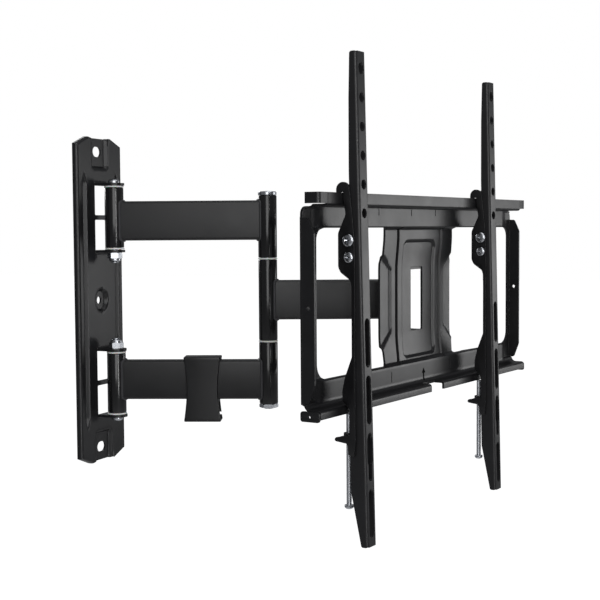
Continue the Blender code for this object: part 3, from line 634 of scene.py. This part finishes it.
def ear(height, up, root, reach, axis_y):
    """A tongue bent square to a plate: round end about the axis and a bend radius at its root."""
    far = height + EAR_SHEET
    face = far if up > 0 else height
    away = 1 if root > axis_y else -1
    bend = [(root - away * EAR_BEND, face), (root - away * 1.2, face + up * 0.35),
            (root - away * 0.35, face + up * 1.2), (root, face + up * EAR_BEND),
            (root + away * 1.2, face + up * EAR_BEND)]
    other = height if up > 0 else far
    outline = [(root + away * 1.2, other), (reach, other), (reach, face)] + bend
    sheet = extrude(outline, -EAR_RADIUS, EAR_RADIUS, "yz")
    plan = [(EAR_RADIUS, root + away * 4)] + arc((0, axis_y), EAR_RADIUS, 0, -180 * away, 24)
    plan.append((-EAR_RADIUS, root + away * 4))
    keep = extrude(plan, height - 6, far + 6, "xy")
    bore = extrude(circle((0, axis_y), HINGE_BORE), height - 7, far + 7, "xy")
    return cut(combined(sheet, "INTERSECT", keep), bore)


ears = []
for side in (-1, 1):
    for inner, outwards in ((49.3, -1), (117.2, 1)):
        height = inner if side > 0 else -inner - EAR_SHEET
        ears.append(ear(height, side * outwards, -5.95, -WALL_AXIS - 12, -WALL_AXIS))
piece("pressed_wall_plate", merged(wall_sheet, *ears), POWDER, "wall_bracket", WALL, ["wall_plate"])
print("ears:", len(ears))

# %% [markdown]
# ## Bolts, lock nuts and threads
# A thread is a helix, so each point's radius depends on its height and its angle together. A lock nut
# is a hexagon with chamfered corners and a round collar that grips a nylon ring. A hexagon turned
# against a cone gives the curved chamfer lines of a real nut.

# %% Fasteners


def hexagon(across_flats, bottom, top, bore):
    """A hexagon prism with its corners chamfered by a cone at both ends."""
    corner = across_flats / math.sqrt(3)
    angles = [math.radians(a) for a in range(0, 360, 60)]
    prism = extrude([(corner * math.cos(a), corner * math.sin(a)) for a in angles], bottom, top, "xy",
                    [circle((0, 0), bore, 36)])
    flat = across_flats / 2 + 0.15
    drop = (corner - flat) * 0.55
    cone = lathe([(0, top + 0.01), (flat, top + 0.01), (corner + 0.2, top - drop),
                  (corner + 0.2, bottom + drop), (flat, bottom - 0.01), (0, bottom - 0.01)], 48)
    return combined(prism, "INTERSECT", cone)


def lock_nut(across_flats, bottom, top, bore):
    """Hexagon below, round collar above; +Z is the collar's side."""
    body = bottom + (top - bottom) * 0.68
    collar = across_flats / 2 - 0.5
    crown = lathe([(bore + 0.5, body - 0.3), (collar, body - 0.3), (collar, top - 0.9), (collar - 0.9, top),
                   (bore + 0.8, top), (bore + 0.5, body - 0.3)], 48)
    return merged(hexagon(across_flats, bottom, body, bore), crown)


def thread(radius, pitch, bottom, top, around=20, cut_depth=0.55):
    """A threaded rod: the radius follows a triangle wave that climbs one pitch for each turn."""
    rings_per_turn = 6
    count = int((top - bottom) / pitch * rings_per_turn)
    solid = bmesh.new()
    loops = []
    for i in range(count + 1):
        z = bottom + (top - bottom) * i / count
        loop = []
        for k in range(around):
            phase = (z / pitch - k / around) % 1.0
            depth = cut_depth * pitch * (1 - abs(2 * phase - 1))
            ease = min(1.0, (z - bottom) / pitch, (top - z) / pitch)
            r = radius - depth * ease
            a = 2 * math.pi * k / around
            loop.append(solid.verts.new((r * math.cos(a) * MM, r * math.sin(a) * MM, z * MM)))
        loops.append(loop)
    for low, high in zip(loops, loops[1:]):
        for k in range(around):
            n = (k + 1) % around
            solid.faces.new((low[k], low[n], high[n], high[k]))
    solid.faces.new(loops[0][::-1])
    solid.faces.new(loops[-1])
    return finished(solid, merge=1e-8)


def cross_recess(size, floor, top):
    """The tapering cross that a driver fits, as a cutting tool."""
    arms = []
    for spin_by in (0, 90):
        wing = extrude([(-size, top), (size, top), (size * 0.35, floor), (-size * 0.35, floor)],
                       -size * 0.17, size * 0.17, "xz")
        arms.append(placed(wing, turn(spin_by)))
    return arms


def domed_head(radius, base, height):
    """A pan head that stands on base and points to +Z."""
    dome = [(radius * math.cos(a), base + height * 0.35 + height * 0.65 * math.sin(a))
            for a in [math.radians(d) for d in range(0, 91, 10)]]
    return lathe([(0.0, base), (radius - 0.2, base), (radius, base + 0.2)] + dome, 48)


def shank(radius, top, bottom):
    """The plain part of a bolt."""
    return lathe([(0, top), (radius, top), (radius, bottom), (0, bottom)], 40)


print("an M5 thread has", len(thread(2.5, 0.8, 0, 8).polygons), "faces over 8 mm")

# %% Wall hinges: bolt, lock nut and washers


def hinge_bolt(radius, head, head_height, base, shank_end, tip, pitch):
    """Low dome head above, plain shank, thread at the tip below."""
    return merged(domed_head(head, base, head_height), shank(radius, base + 0.4, shank_end),
                  thread(radius - 0.05, pitch, tip, shank_end + 0.2))


M8 = {"radius": 4.0, "head": 6.0, "head_height": 4.2, "pitch": 1.25}
WASHER_RADIUS = 9.8
FLIP = Matrix.Diagonal((1, 1, -1, 1))
LEVELS = (("upper", Matrix.Identity(4)), ("lower", FLIP))
HINGE = WALL @ shift(y=-WALL_AXIS)
for level, mirror in LEVELS:
    fasteners = {
        "hinge_bolt": (hinge_bolt(base=119.9, shank_end=50, tip=38.5, **M8), ZINC),
        "hinge_nut": (placed(lock_nut(13, -49.0, -40.2, HINGE_BORE), FLIP), ZINC),
        "hinge_washer_outer": (ring(WASHER_RADIUS, HINGE_BORE, 115.4, 116.9, 0.35), NYLON),
        "hinge_washer_inner": (ring(WASHER_RADIUS, HINGE_BORE, 52.3, 53.8, 0.35), NYLON),
    }
    for part, (mesh, material) in fasteners.items():
        name = f"{level}_{part}"
        piece(f"{name}_made", placed(mesh, mirror), material, "wall_bracket", HINGE, [name])
print(len(made), "pieces so far")

# %% [markdown]
# ## Arms: flat tube welded to turned barrels
# Each arm is a flat steel tube, coped at its ends to sit against the barrels and welded all round. A
# weld bead is a row of frozen ripples, so the bead is a swept circle whose size beats along its path.

# %% Tube and weld bead


def arm_tube(length, bottom, top):
    """A flat tube along x with rounded corners, hollow, and coped to the barrels at both ends."""
    deep = TUBE_DEPTH / 2
    middle = (bottom + top) / 2
    outer = rounded(rectangle(-deep, deep, bottom, top), 2.8, 7)
    inner = rounded(rectangle(-deep + 2, deep - 2, bottom + 2, top - 2), 1.2, 5)
    tube = extrude(outer, 3, length - 3, "yz", [inner])
    cope = BARREL_RADIUS + GAP
    ends = [placed(lathe([(0, middle + 40), (cope, middle + 40), (cope, middle - 40), (0, middle - 40)], 96),
                   shift(x)) for x in (0, length)]
    return cut(tube, *ends)


BEAD_RADIUS = 1.6
RIPPLE_MM = 1.9


def weld_bead(bottom, top, facing):
    """A bead round a tube's end where it meets a barrel; facing is +1 for the tube's first end."""
    seat = BARREL_RADIUS + 0.35
    step_mm = 0.45
    around = [2 * math.pi * k / 10 for k in range(10)]
    outline = rounded(rectangle(-TUBE_DEPTH / 2 + 0.2, TUBE_DEPTH / 2 - 0.2, bottom + 0.2, top - 0.2), 3, 6)
    dense = []
    for i, point in enumerate(outline):
        following = Vector(outline[(i + 1) % len(outline)])
        count = max(1, round((following - Vector(point)).length / step_mm))
        dense += [Vector(point).lerp(following, k / count) for k in range(count)]
    path = [Vector((math.sqrt(max(1.0, seat ** 2 - p.x ** 2)) * facing, p.x, p.y)) for p in dense]
    solid = bmesh.new()
    loops = []
    travelled = 0.0
    for i, here in enumerate(path):
        following = path[(i + 1) % len(path)]
        along = (following - path[i - 1]).normalized()
        outward = Vector((0, here.y / 7.5, 0)) + Vector((0, 0, (here.z - (bottom + top) / 2) / 20))
        side_way = along.cross(outward).normalized()
        up_way = side_way.cross(along).normalized()
        size = BEAD_RADIUS * (0.86 + 0.14 * abs(math.sin(math.pi * travelled / RIPPLE_MM)))
        loops.append([solid.verts.new((here + (side_way * math.cos(a) + up_way * math.sin(a)) * size) * MM)
                      for a in around])
        travelled += (following - here).length
    for i, low in enumerate(loops):
        high = loops[(i + 1) % len(loops)]
        for k in range(len(around)):
            n = (k + 1) % len(around)
            solid.faces.new((low[k], low[n], high[n], high[k]))
    return finished(solid, merge=1e-8)


def barrel(bottom, top):
    return ring(BARREL_RADIUS, BARREL_BORE, bottom, top, 0.8)


def both_beads(length, bottom, top):
    """The beads at a tube's two ends."""
    return merged(weld_bead(bottom, top, 1), placed(weld_bead(bottom, top, -1), shift(length)))


print("a bead ripples every", RIPPLE_MM, "mm")

# %% Inner arms
TUBE_TOP = TUBE_BOTTOM + TUBE_HEIGHT
for level, mirror in LEVELS:
    tube = arm_tube(INNER_ARM, TUBE_BOTTOM, TUBE_TOP)
    beads = both_beads(INNER_ARM, TUBE_BOTTOM, TUBE_TOP)
    piece(f"{level}_flat_tube", placed(tube, mirror), POWDER, "inner_arms", INNER, [f"{level}_arm_tube"])
    piece(f"{level}_arm_welds", placed(beads, mirror), WELD_SHEEN, "inner_arms", INNER)
    for part, x, low, high in (("wall", 0, 54.1, 115.1), ("elbow", INNER_ARM, 43.1, 106.1)):
        name = f"{level}_{part}"
        turned = placed(barrel(low, high), mirror @ shift(x))
        piece(f"{name}_turned_barrel", turned, GLOSSY, "inner_arms", INNER, [f"{name}_barrel"])
print(len(made), "pieces so far")

# %% Elbow bolt, nut and washers
ELBOW = INNER @ shift(INNER_ARM)
ELBOW_BORE = 5.3
ELBOW_BASE = 106.4
for level, mirror in LEVELS:
    washer = placed(ring(WASHER_RADIUS, ELBOW_BORE, 41.3, 42.8, 0.35), mirror)
    piece(f"elbow_washer_{level}_made", washer, NYLON, "inner_arms", ELBOW, [f"elbow_washer_{level}"])
flat_head = lathe([(0, ELBOW_BASE), (9.1, ELBOW_BASE), (9.4, 106.7), (9.4, 109.2), (8.6, 110.0),
                   (0, 110.6)], 56)
elbow_bolt = merged(flat_head, shank(5.0, 106.8, -106), thread(4.95, 1.5, -111.3, -105.8))
piece("elbow_cap_bolt", elbow_bolt, ZINC, "inner_arms", ELBOW, ["elbow_bolt"])
elbow_nut = placed(hexagon(17, ELBOW_BASE, 110.2, ELBOW_BORE), FLIP)
piece("elbow_lock_nut", elbow_nut, ZINC, "inner_arms", ELBOW, ["elbow_nut"])
print(len(made), "pieces so far")

# %% Outer arm
half_tube = TUBE_HEIGHT / 2
outer_tube = arm_tube(OUTER_ARM, -half_tube, half_tube)
piece("outer_flat_tube", outer_tube, POWDER, "outer_arm", OUTER, ["outer_arm_tube"])
piece("outer_arm_welds", both_beads(OUTER_ARM, -half_tube, half_tube), WELD_SHEEN, "outer_arm", OUTER)
piece("outer_elbow_turned_barrel", barrel(-41, 41), GLOSSY, "outer_arm", OUTER, ["outer_elbow_barrel"])
swivel = placed(barrel(-28.5, 28.5), shift(OUTER_ARM))
piece("swivel_turned_barrel", swivel, GLOSSY, "outer_arm", OUTER, ["swivel_barrel"])
print(len(made), "pieces so far")

# %% [markdown]
# ## The cable clip
# A moulded sleeve clips over the lower arm and carries cables in the channel under it. Its sides are
# drawn in at the waist. The outside gets a generous bevel first and the channels are cut after, so the
# outer edges are soft and the inner ones stay crisp.

# %% Cable clip
CLIP_TOP = -57.4
CLIP_BOTTOM = -124.0
CLIP_WAIST = 15.8
CLIP_FLARE = 3.2
middle = (CLIP_TOP + CLIP_BOTTOM) / 2
waisted = []
for i in range(21):
    t = -1 + 2 * i / 20
    waisted.append((CLIP_WAIST + CLIP_FLARE * abs(t) ** 1.6, middle + t * (CLIP_TOP - CLIP_BOTTOM) / 2))
outline = waisted + [(-x, z) for x, z in reversed(waisted)]
deep = TUBE_DEPTH / 2 + 2.8
clip = softened(extrude(outline, -deep, deep, "xz"), 1.4, 4, 50)
fit = TUBE_DEPTH / 2 + GAP
sleeve = rounded(rectangle(-fit, fit, -TUBE_TOP - GAP, -TUBE_BOTTOM + GAP), 3, 6)
channel = rounded(rectangle(-fit, fit, CLIP_BOTTOM + 2.4, -TUBE_TOP - 2.6), 3, 6)
mouth = box(-30, 30, 4, 20, CLIP_BOTTOM + 5, CLIP_BOTTOM + 8)
clip = cut(clip, extrude(sleeve, -30, 30, "yz"), extrude(channel, -30, 30, "yz"), mouth)
piece("moulded_cable_clip", clip, MOULDED, "cable_clip", CLIP, ["cable_clip"])
print("cable clip faces:", len(clip.polygons))

# %% [markdown]
# ## The TV plate
# One sheet makes the whole frame: its section runs from the lower lip, up the band, across the
# openings and out again to the upper lip that the brackets hook on. So the grid follows that bent
# section, and the pressing function only moves the flat part: set-back ends, two grooves, the sunken
# panel, the wings that fold back beside it and the bow of the middle out towards the bands.

# %% The section and the pressing
H_WEB = 3.9  # middle of the sheet at the bands, ahead of the datum face
H_END = 1.0  # the same at the set-back ends
H_LIP = 18.9
LIP_END = 223.9
FLAT_LOW = -77.0
FLAT_HIGH = 89.5


def ahead(h):
    """The local y of a point h ahead of the plate's datum face."""
    return -(h + PLATE_SETBACK)


def plate_press(x, z):
    """How far the middle of the sheet stands ahead of the datum face."""
    far = abs(x)
    band = H_END + (H_WEB - H_END) * smooth((211 - far) / 17)
    groove = smooth((3.4 - abs(far - 46.5)) / 1.5)
    panel = smooth(inside(x, z, 35.5, -57.5, 60.5, 9) / 2.4)
    fold = max(0.0, z - 32) * 1.3 + max(0.0, -29 - z) * 1.3
    wing = smooth((far - 56 - fold) / 2.2)
    bow = smooth((abs(z) - 30) / 36)
    centre = -3.2 + 2.4 * bow - 5.6 * groove - 2.6 * panel - 2.0 * wing
    inner = centre + (H_END - centre) * smooth((far - 90) / 60)
    upper = smooth((z - 70.6) / 3.6)
    lower = smooth((-58.8 - z) / 3.6)
    return inner + (band - inner) * max(upper, lower)


section = rounded([(H_LIP, -91.0), (H_LIP, -84.2), (H_WEB, -84.2), (H_WEB, 92.1), (H_LIP, 92.1),
                   (H_LIP, 103.0)], [0, 1.9, 6, 1.9, 1.9, 0], 7, closed=False)
lower_part = [p for p in section if p[1] < 0]
upper_part = [p for p in section if p[1] > 0]
stations = (spread(FLAT_LOW, -64, 2.0) + spread(-63, -54, 0.9) + spread(-52, -30, 2.0) + spread(-27, 30, 3.5)
            + spread(32, 56, 2.0) + spread(57, 76, 0.95) + spread(78, FLAT_HIGH, 2.2))
across = sorted(set(round(s * x, 3) for s in (-1, 1) for x in
                    spread(0, 30, 3) + spread(31, 38, 0.7) + spread(39, 53, 0.7) + spread(54, 64, 0.8)
                    + spread(66, 84, 2) + spread(90, 190, 6) + spread(193, 213, 1.5)
                    + spread(215, LIP_END, 2)))
rows = []
for h, z in lower_part + [(H_WEB, station) for station in stations] + upper_part:
    rows.append([(x, ahead(h if h > H_WEB + 0.01 else plate_press(x, z)), z) for x in across])
plate_sheet = pressed(rows)
print("TV plate grid:", len(plate_sheet.polygons), "faces")

# %% Openings, lip gap, window and relief slots
plate_tools = [
    box(-13.6, 13.6, ahead(60), ahead(9), -99, -79),
    extrude(rounded(rectangle(-11.5, 14.0, -31.0, 33.0), 1.5, 4), 10, 45, "xz"),
]
for side in (-1, 1):
    outer = 217 if side > 0 else 201
    hole = [(73, 72.5), (74, 43), (76, 38), (76, -42), (74, -47), (73, -60.5), (outer, -60.5), (outer, 72.5)]
    hole = rounded([(side * x, z) for x, z in hole], [3, 4, 4, 4, 4, 3, 14, 11], 10)
    plate_tools.append(extrude(hole, 5, 60, "xz"))
    x0, x1 = sorted((side * 211, side * 240))
    plate_tools.append(box(x0, x1, ahead(60), ahead(-30), 91.2, 110))
    plate_tools.append(box(x0, x1, ahead(60), ahead(3.2), 60, 110))
    corner = [(side * (225.5 - 9), 92), (side * 225.5, 92), (side * 225.5, 82), (side * 223.5, 82)]
    corner += arc((side * 216.5, 84), 7, 0 if side > 0 else 180, 90, 8)
    plate_tools.append(extrude(corner, 5, 60, "xz"))
plate_sheet = cut(plate_sheet, *plate_tools, solver="MANIFOLD")
print("punched TV plate:", len(plate_sheet.polygons), "faces")

# %% Nicks that mark where a bracket goes
nicks = [(-94.2, 84.0, 90.0), (-28.3, 84.0, 90.0), (24.6, 84.0, 90.0), (-69.9, -76.5, -66.5),
         (58.7, -74.5, -65.0)]
scribers = [box(x - 0.6, x + 0.6, ahead(12), ahead(4.3), low, high) for x, low, high in nicks]
plate_sheet = cut(plate_sheet, *scribers, solver="MANIFOLD")
print("nicked TV plate:", len(plate_sheet.polygons), "faces")

# %% Lip ends, end flanges and swivel ears
extras = []
top_return = [(-LIP_END, 5.6), (-LIP_END, H_LIP), (-210, H_LIP)]
for side in (-1, 1):
    path = rounded([(-side * x, ahead(h)) for x, h in top_return], [0, 2.5, 0], 6, closed=False)
    extras.append(extrude(strip(path, SHEET), 93.4, 103.0, "xy"))
    flange = [(-0.1, -78), (8, -78), (14, -62), (14, 68), (8, 81), (-0.1, 81)]
    flange = rounded([(ahead(h), z) for h, z in flange], [0, 3, 4, 4, 3, 0], 6)
    x0, x1 = sorted((side * 224.0, side * 221.8))
    extras.append(extrude(flange, x0, x1, "yz", [circle((ahead(7.5), 4), 1.8, 24)]))
for height, up in ((30.6, 1), (-33.0, -1)):
    extras.append(ear(height, up, ahead(-6.0), 12, 0))
piece("pressed_tv_plate", merged(plate_sheet, *extras), POWDER, "tv_plate", PLATE, ["tv_plate"])

# %% [markdown]
# ## Small things on the TV plate
# A painted arrow on the lower band shows which way is up: matt black on satin black, so it is seen only
# because it mirrors nothing. The swivel has the same bolt and lock nut as the wall hinges. Black caps
# close the raw ends of the lower lip.

# %% The up arrow
PRINT = coat_material("matt_black_marking_paint", "black_powder_coat", "#020202", "#040404", 0.8, edge_mm=0.1)
PRINT.node_tree.nodes["Principled BSDF"].inputs["Specular IOR Level"].default_value = 0.08


def lower_face(z):
    """How far ahead the front face of the lower band stands: flat, then curving out to the lip."""
    drop = min(0.0, z + 78.2)
    return 9.9 - math.sqrt(4.9 ** 2 - drop ** 2)


def marking(points, rise=0.12):
    """Flat paint on the lower band: a filled outline, cut finely in height and laid on the face."""
    solid = bmesh.new()
    solid.from_mesh(extrude(points, 0, 0.3, "xz"))
    foot = -82
    for step in range(1, 24):
        height = foot + step * 0.6
        bmesh.ops.bisect_plane(solid, geom=solid.verts[:] + solid.edges[:] + solid.faces[:],
                               plane_co=(0, 0, height * MM), plane_no=(0, 0, 1))
    for vertex in solid.verts:
        lift = rise if vertex.co.y < -0.00015 else -0.1
        vertex.co.y = ahead(lower_face(vertex.co.z / MM) + lift) * MM
    return finished(solid, merge=1e-7)


arrow = [(0, -68.6), (-3.8, -73.8), (-1.3, -73.8), (-1.3, -81.4), (1.3, -81.4), (1.3, -73.8), (3.8, -73.8)]
arrow_mesh = marking([(x - 2.6, z) for x, z in arrow])
piece("up_arrow", arrow_mesh, PRINT, "tv_plate", PLATE)
print("the arrow has", len(arrow_mesh.polygons), "faces")

# %% Swivel fasteners and end caps
swivel_bolt = hinge_bolt(base=33.3, shank_end=-33, tip=-43.5, **M8)
piece("swivel_bolt_made", swivel_bolt, ZINC, "tv_plate", PLATE, ["swivel_bolt"])
swivel_nut = placed(lock_nut(13, 33.3, 41.8, HINGE_BORE), FLIP)
piece("swivel_nut_made", swivel_nut, ZINC, "tv_plate", PLATE, ["swivel_nut"])
for level, mirror in LEVELS:
    washer = placed(ring(WASHER_RADIUS, HINGE_BORE, 28.8, 30.3, 0.35), mirror)
    piece(f"swivel_washer_{level}_made", washer, NYLON, "tv_plate", PLATE, [f"swivel_washer_{level}"])
for side, name in ((-1, "left"), (1, "right")):
    x0, x1 = sorted((side * 223.8, side * 226.0))
    outline = rounded(rectangle(ahead(0.5), ahead(19.6), -93.2, -84.2), 2.2)
    cap = softened(extrude(outline, x0, x1, "yz", [circle((ahead(9.5), -89), 1.2, 24)]), 0.4)
    piece(f"{name}_lip_cap", cap, MOULDED, "tv_plate", PLATE, [f"lower_end_cap_{name}"])
print(len(made), "pieces so far")

# %% [markdown]
# ## Hook brackets
# Each bracket is two cheeks cut from sheet, joined behind the bolts and under the lower lip. The hook
# drops over the upper lip, the belly holds the tilt bolts and the toe catches the lower lip.

# %% Bracket cheeks


def bracket_outline():
    """One cheek from the side: how far ahead of the datum face, and how high."""
    dome = arc((20.0, 105.6), 6.6, 0, 180, 20)
    hook = [(13.4, 100.0), (14.4, 98.6), (16.2, 98.6), (17.4, 99.8), (17.4, 102.9), (17.9, 103.4),
            (19.9, 103.4), (20.4, 102.9)]
    back = rounded([(20.6, 97), (22.8, 84), (20.0, 78), (15.1, 68), (15.1, 38), (17.6, 33.5),
                    (27.0, 27.0), (28.4, 22), (28.4, -36)], [0, 5, 6, 8, 8, 5, 5, 6, 0], 6, closed=False)
    toe = rounded([(28.4, -40), (21.5, -58), (18.8, -70), (18.8, -78.5), (26.1, -86.5), (26.1, -92)],
                  [0, 6, 8, 4, 4, 0], 6, closed=False)
    foot = [(26.1, -109), (12.0, -111.6), (10.8, -113), (10.8, -114.4), (12.0, -115.2), (22.4, -116.4),
            (24.0, -118.5), (24.6, -126.0), (30.2, -127.5)]
    front = [(31.6, -116), (31.6, 50), (30.7, 69), (28.2, 91)]
    return dome + hook + back + toe + foot + front


LOCK_DROP = 14.8
SCREW_BORE = 2.8
outer_face = RAIL_WIDTH / 2 + GAP + SHEET
inner_face = outer_face - SHEET
tuck = outer_face - 0.5
cheek = [(ahead(h), z) for h, z in bracket_outline()]
for side, place in BRACKET.items():
    bores = [circle((ahead(PIVOT_FORWARD), PIVOT_HEIGHT), SCREW_BORE),
             slot((ahead(PIVOT_FORWARD), PIVOT_HEIGHT - LOCK_DROP), 9.4, 5.6)]
    cheeks = [softened(extrude(cheek, x0, x1, "yz", bores), 0.3, 2, 40)
              for x0, x1 in ((-outer_face, -inner_face), (inner_face, outer_face))]
    bridge = box(-tuck, tuck, ahead(17.3), ahead(15.1), 40, 65)
    tab = cut(box(-tuck, tuck, ahead(21.8), ahead(10.8), -114.6, -112.4),
              extrude(circle((0, ahead(SCREW_FORWARD)), SCREW_BORE), -120, -100, "xy"))
    bracket = merged(*cheeks, bridge, tab)
    piece(f"{side}_cut_bracket", bracket, POWDER, f"{side}_bracket", place, [f"{side}_hook_bracket"])
    nut = placed(hexagon(8, -112.1, -108.2, SCREW_BORE), shift(y=ahead(SCREW_FORWARD)))
    piece(f"{side}_weld_nut", nut, POWDER, f"{side}_bracket", place, [f"{side}_tab_nut"])
print(len(made), "pieces so far")

# %% [markdown]
# ## TV rails
# A rail is a channel with a bend radius along both edges, and those two bends are the bright lines
# that run its whole length. So the channel is drawn with its true bends, trimmed to its side shape, and
# then punched with round holes every 25 mm and long slots every 50 mm.

# %% Rail channel, trimmed and punched
RAIL_TOP = 162.7
RAIL_BOTTOM = -269.3
RAIL_SHEET = 2.0
FACE = -10.4
FIRST_HOLE = RAIL_TOP - 14.6
FIRST_SLOT = -89.8
CORNER_RADIUS = 3.0


def rail_blank():
    """The bent channel, its flanges trimmed to their side shape and bored for the two cross screws."""
    wide = RAIL_WIDTH / 2 - RAIL_SHEET / 2
    path = rounded([(-wide, FACE + 18), (-wide, FACE + 1), (wide, FACE + 1), (wide, FACE + 18)],
                   [0, 1.8, 1.8, 0], 7, closed=False)
    channel = extrude(strip(path, RAIL_SHEET), RAIL_BOTTOM, RAIL_TOP, "xy")
    profile = [(0, RAIL_BOTTOM), (0, RAIL_TOP), (6.7, RAIL_TOP), (8.5, RAIL_TOP - 40), (10, 60), (10, 16),
               (14.6, 7), (15.6, 3), (15.6, -20), (14, -26), (10, -36), (10, -181), (15.2, -187),
               (15.2, -222), (6.4, RAIL_BOTTOM)]
    sizes = [0, 0, 2, 0, 0, 4, 2, 2, 3, 4, 5, 2, 3, 12, 2]
    side_view = rounded([(FACE + d, z) for d, z in profile], sizes, 6)
    bores = [circle((0, 0), SCREW_BORE), circle((0, -LOCK_DROP), SCREW_BORE)]
    return combined(channel, "INTERSECT", extrude(side_view, -20, 20, "yz", bores))


def rail_corners():
    """The four outlines that nip off the front face's corners, leaving them round."""
    nibs = []
    for x in (-1, 1):
        for z, up in ((RAIL_TOP, 1), (RAIL_BOTTOM, -1)):
            centre = (x * (RAIL_WIDTH / 2 - CORNER_RADIUS), z - up * CORNER_RADIUS)
            start = {(1, 1): 0, (-1, 1): 90, (-1, -1): 180, (1, -1): 270}[(x, up)]
            nib = arc(centre, CORNER_RADIUS, start, start + 90, 8)
            nibs.append(nib + [(x * (RAIL_WIDTH / 2 + 1), z + up)])
    return nibs


def rail_channel():
    """A punched rail: a short slot, five round holes, four long slots and a wider dash over the third."""
    holes = [slot((0, FIRST_HOLE), 8.5, 10.5)]
    holes += [circle((0, FIRST_HOLE - 25 * i), 4.25) for i in range(1, 6)]
    holes += [slot((0, FIRST_SLOT - 50.1 * i), 8.5 if i != 2 else 6.4, 43) for i in range(4)]
    holes.append(slot((0, -184.5), 9.6, 27))
    punch = [extrude(points, -FACE - 5, -FACE + 2, "xz") for points in holes]
    punch += [extrude(nib, -FACE - 1.7, -FACE + 2, "xz") for nib in rail_corners()]
    return cut(rail_blank(), *punch)


for side, place in TILT.items():
    piece(f"{side}_channel_rail", rail_channel(), RAIL_POWDER, f"{side}_rail", place, [f"{side}_tv_rail"])
print(len(made), "pieces so far")

# %% [markdown]
# ## Tilt bolts and safety screws
# Two cross-head screws go through each bracket and rail: tightening them holds the tilt. A long screw
# under each bracket is driven up against the lower lip so the TV can't be lifted off its hooks.

# %% Cross bolts and safety screws
SIDEWAYS = turn(-90, "Y")
M5_PITCH = 0.8
base = outer_face + GAP
for side, place in TILT.items():
    for name, head, z in (("tilt", 5.4, 0.0), ("lock", 4.6, -LOCK_DROP)):
        screw = cut(domed_head(head, base, 2.6), *cross_recess(head * 0.6, base + 0.6, base + 2.8))
        rod = thread(2.45, M5_PITCH, -base - 5.4, base + 0.3)
        bolt_place = place @ shift(z=z) @ SIDEWAYS
        piece(f"{side}_{name}_cross_screw", merged(screw, rod), ZINC, f"{side}_rail", bolt_place,
              [f"{side}_{name}_bolt"])
        nut = placed(lock_nut(8, base, base + 4, SCREW_BORE), FLIP)
        piece(f"{side}_{name}_lock_nut", nut, ZINC, f"{side}_rail", bolt_place, [f"{side}_{name}_nut"])

tip = -91.6
length = 81.5
under_head = length - tip
for side, place in BRACKET.items():
    head = placed(cut(domed_head(4.2, under_head - 0.1, 3.9),
                      *cross_recess(2.5, under_head + 1.4, under_head + 4.2)), FLIP)
    rod = thread(2.4, M5_PITCH, tip - length, tip, 24, 0.16)
    screw_place = place @ shift(0, ahead(SCREW_FORWARD), 0)
    piece(f"{side}_long_screw", merged(head, rod), ZINC, f"{side}_safety_screw", screw_place,
          [f"{side}_safety_screw"])
print(len(made), "pieces in all")
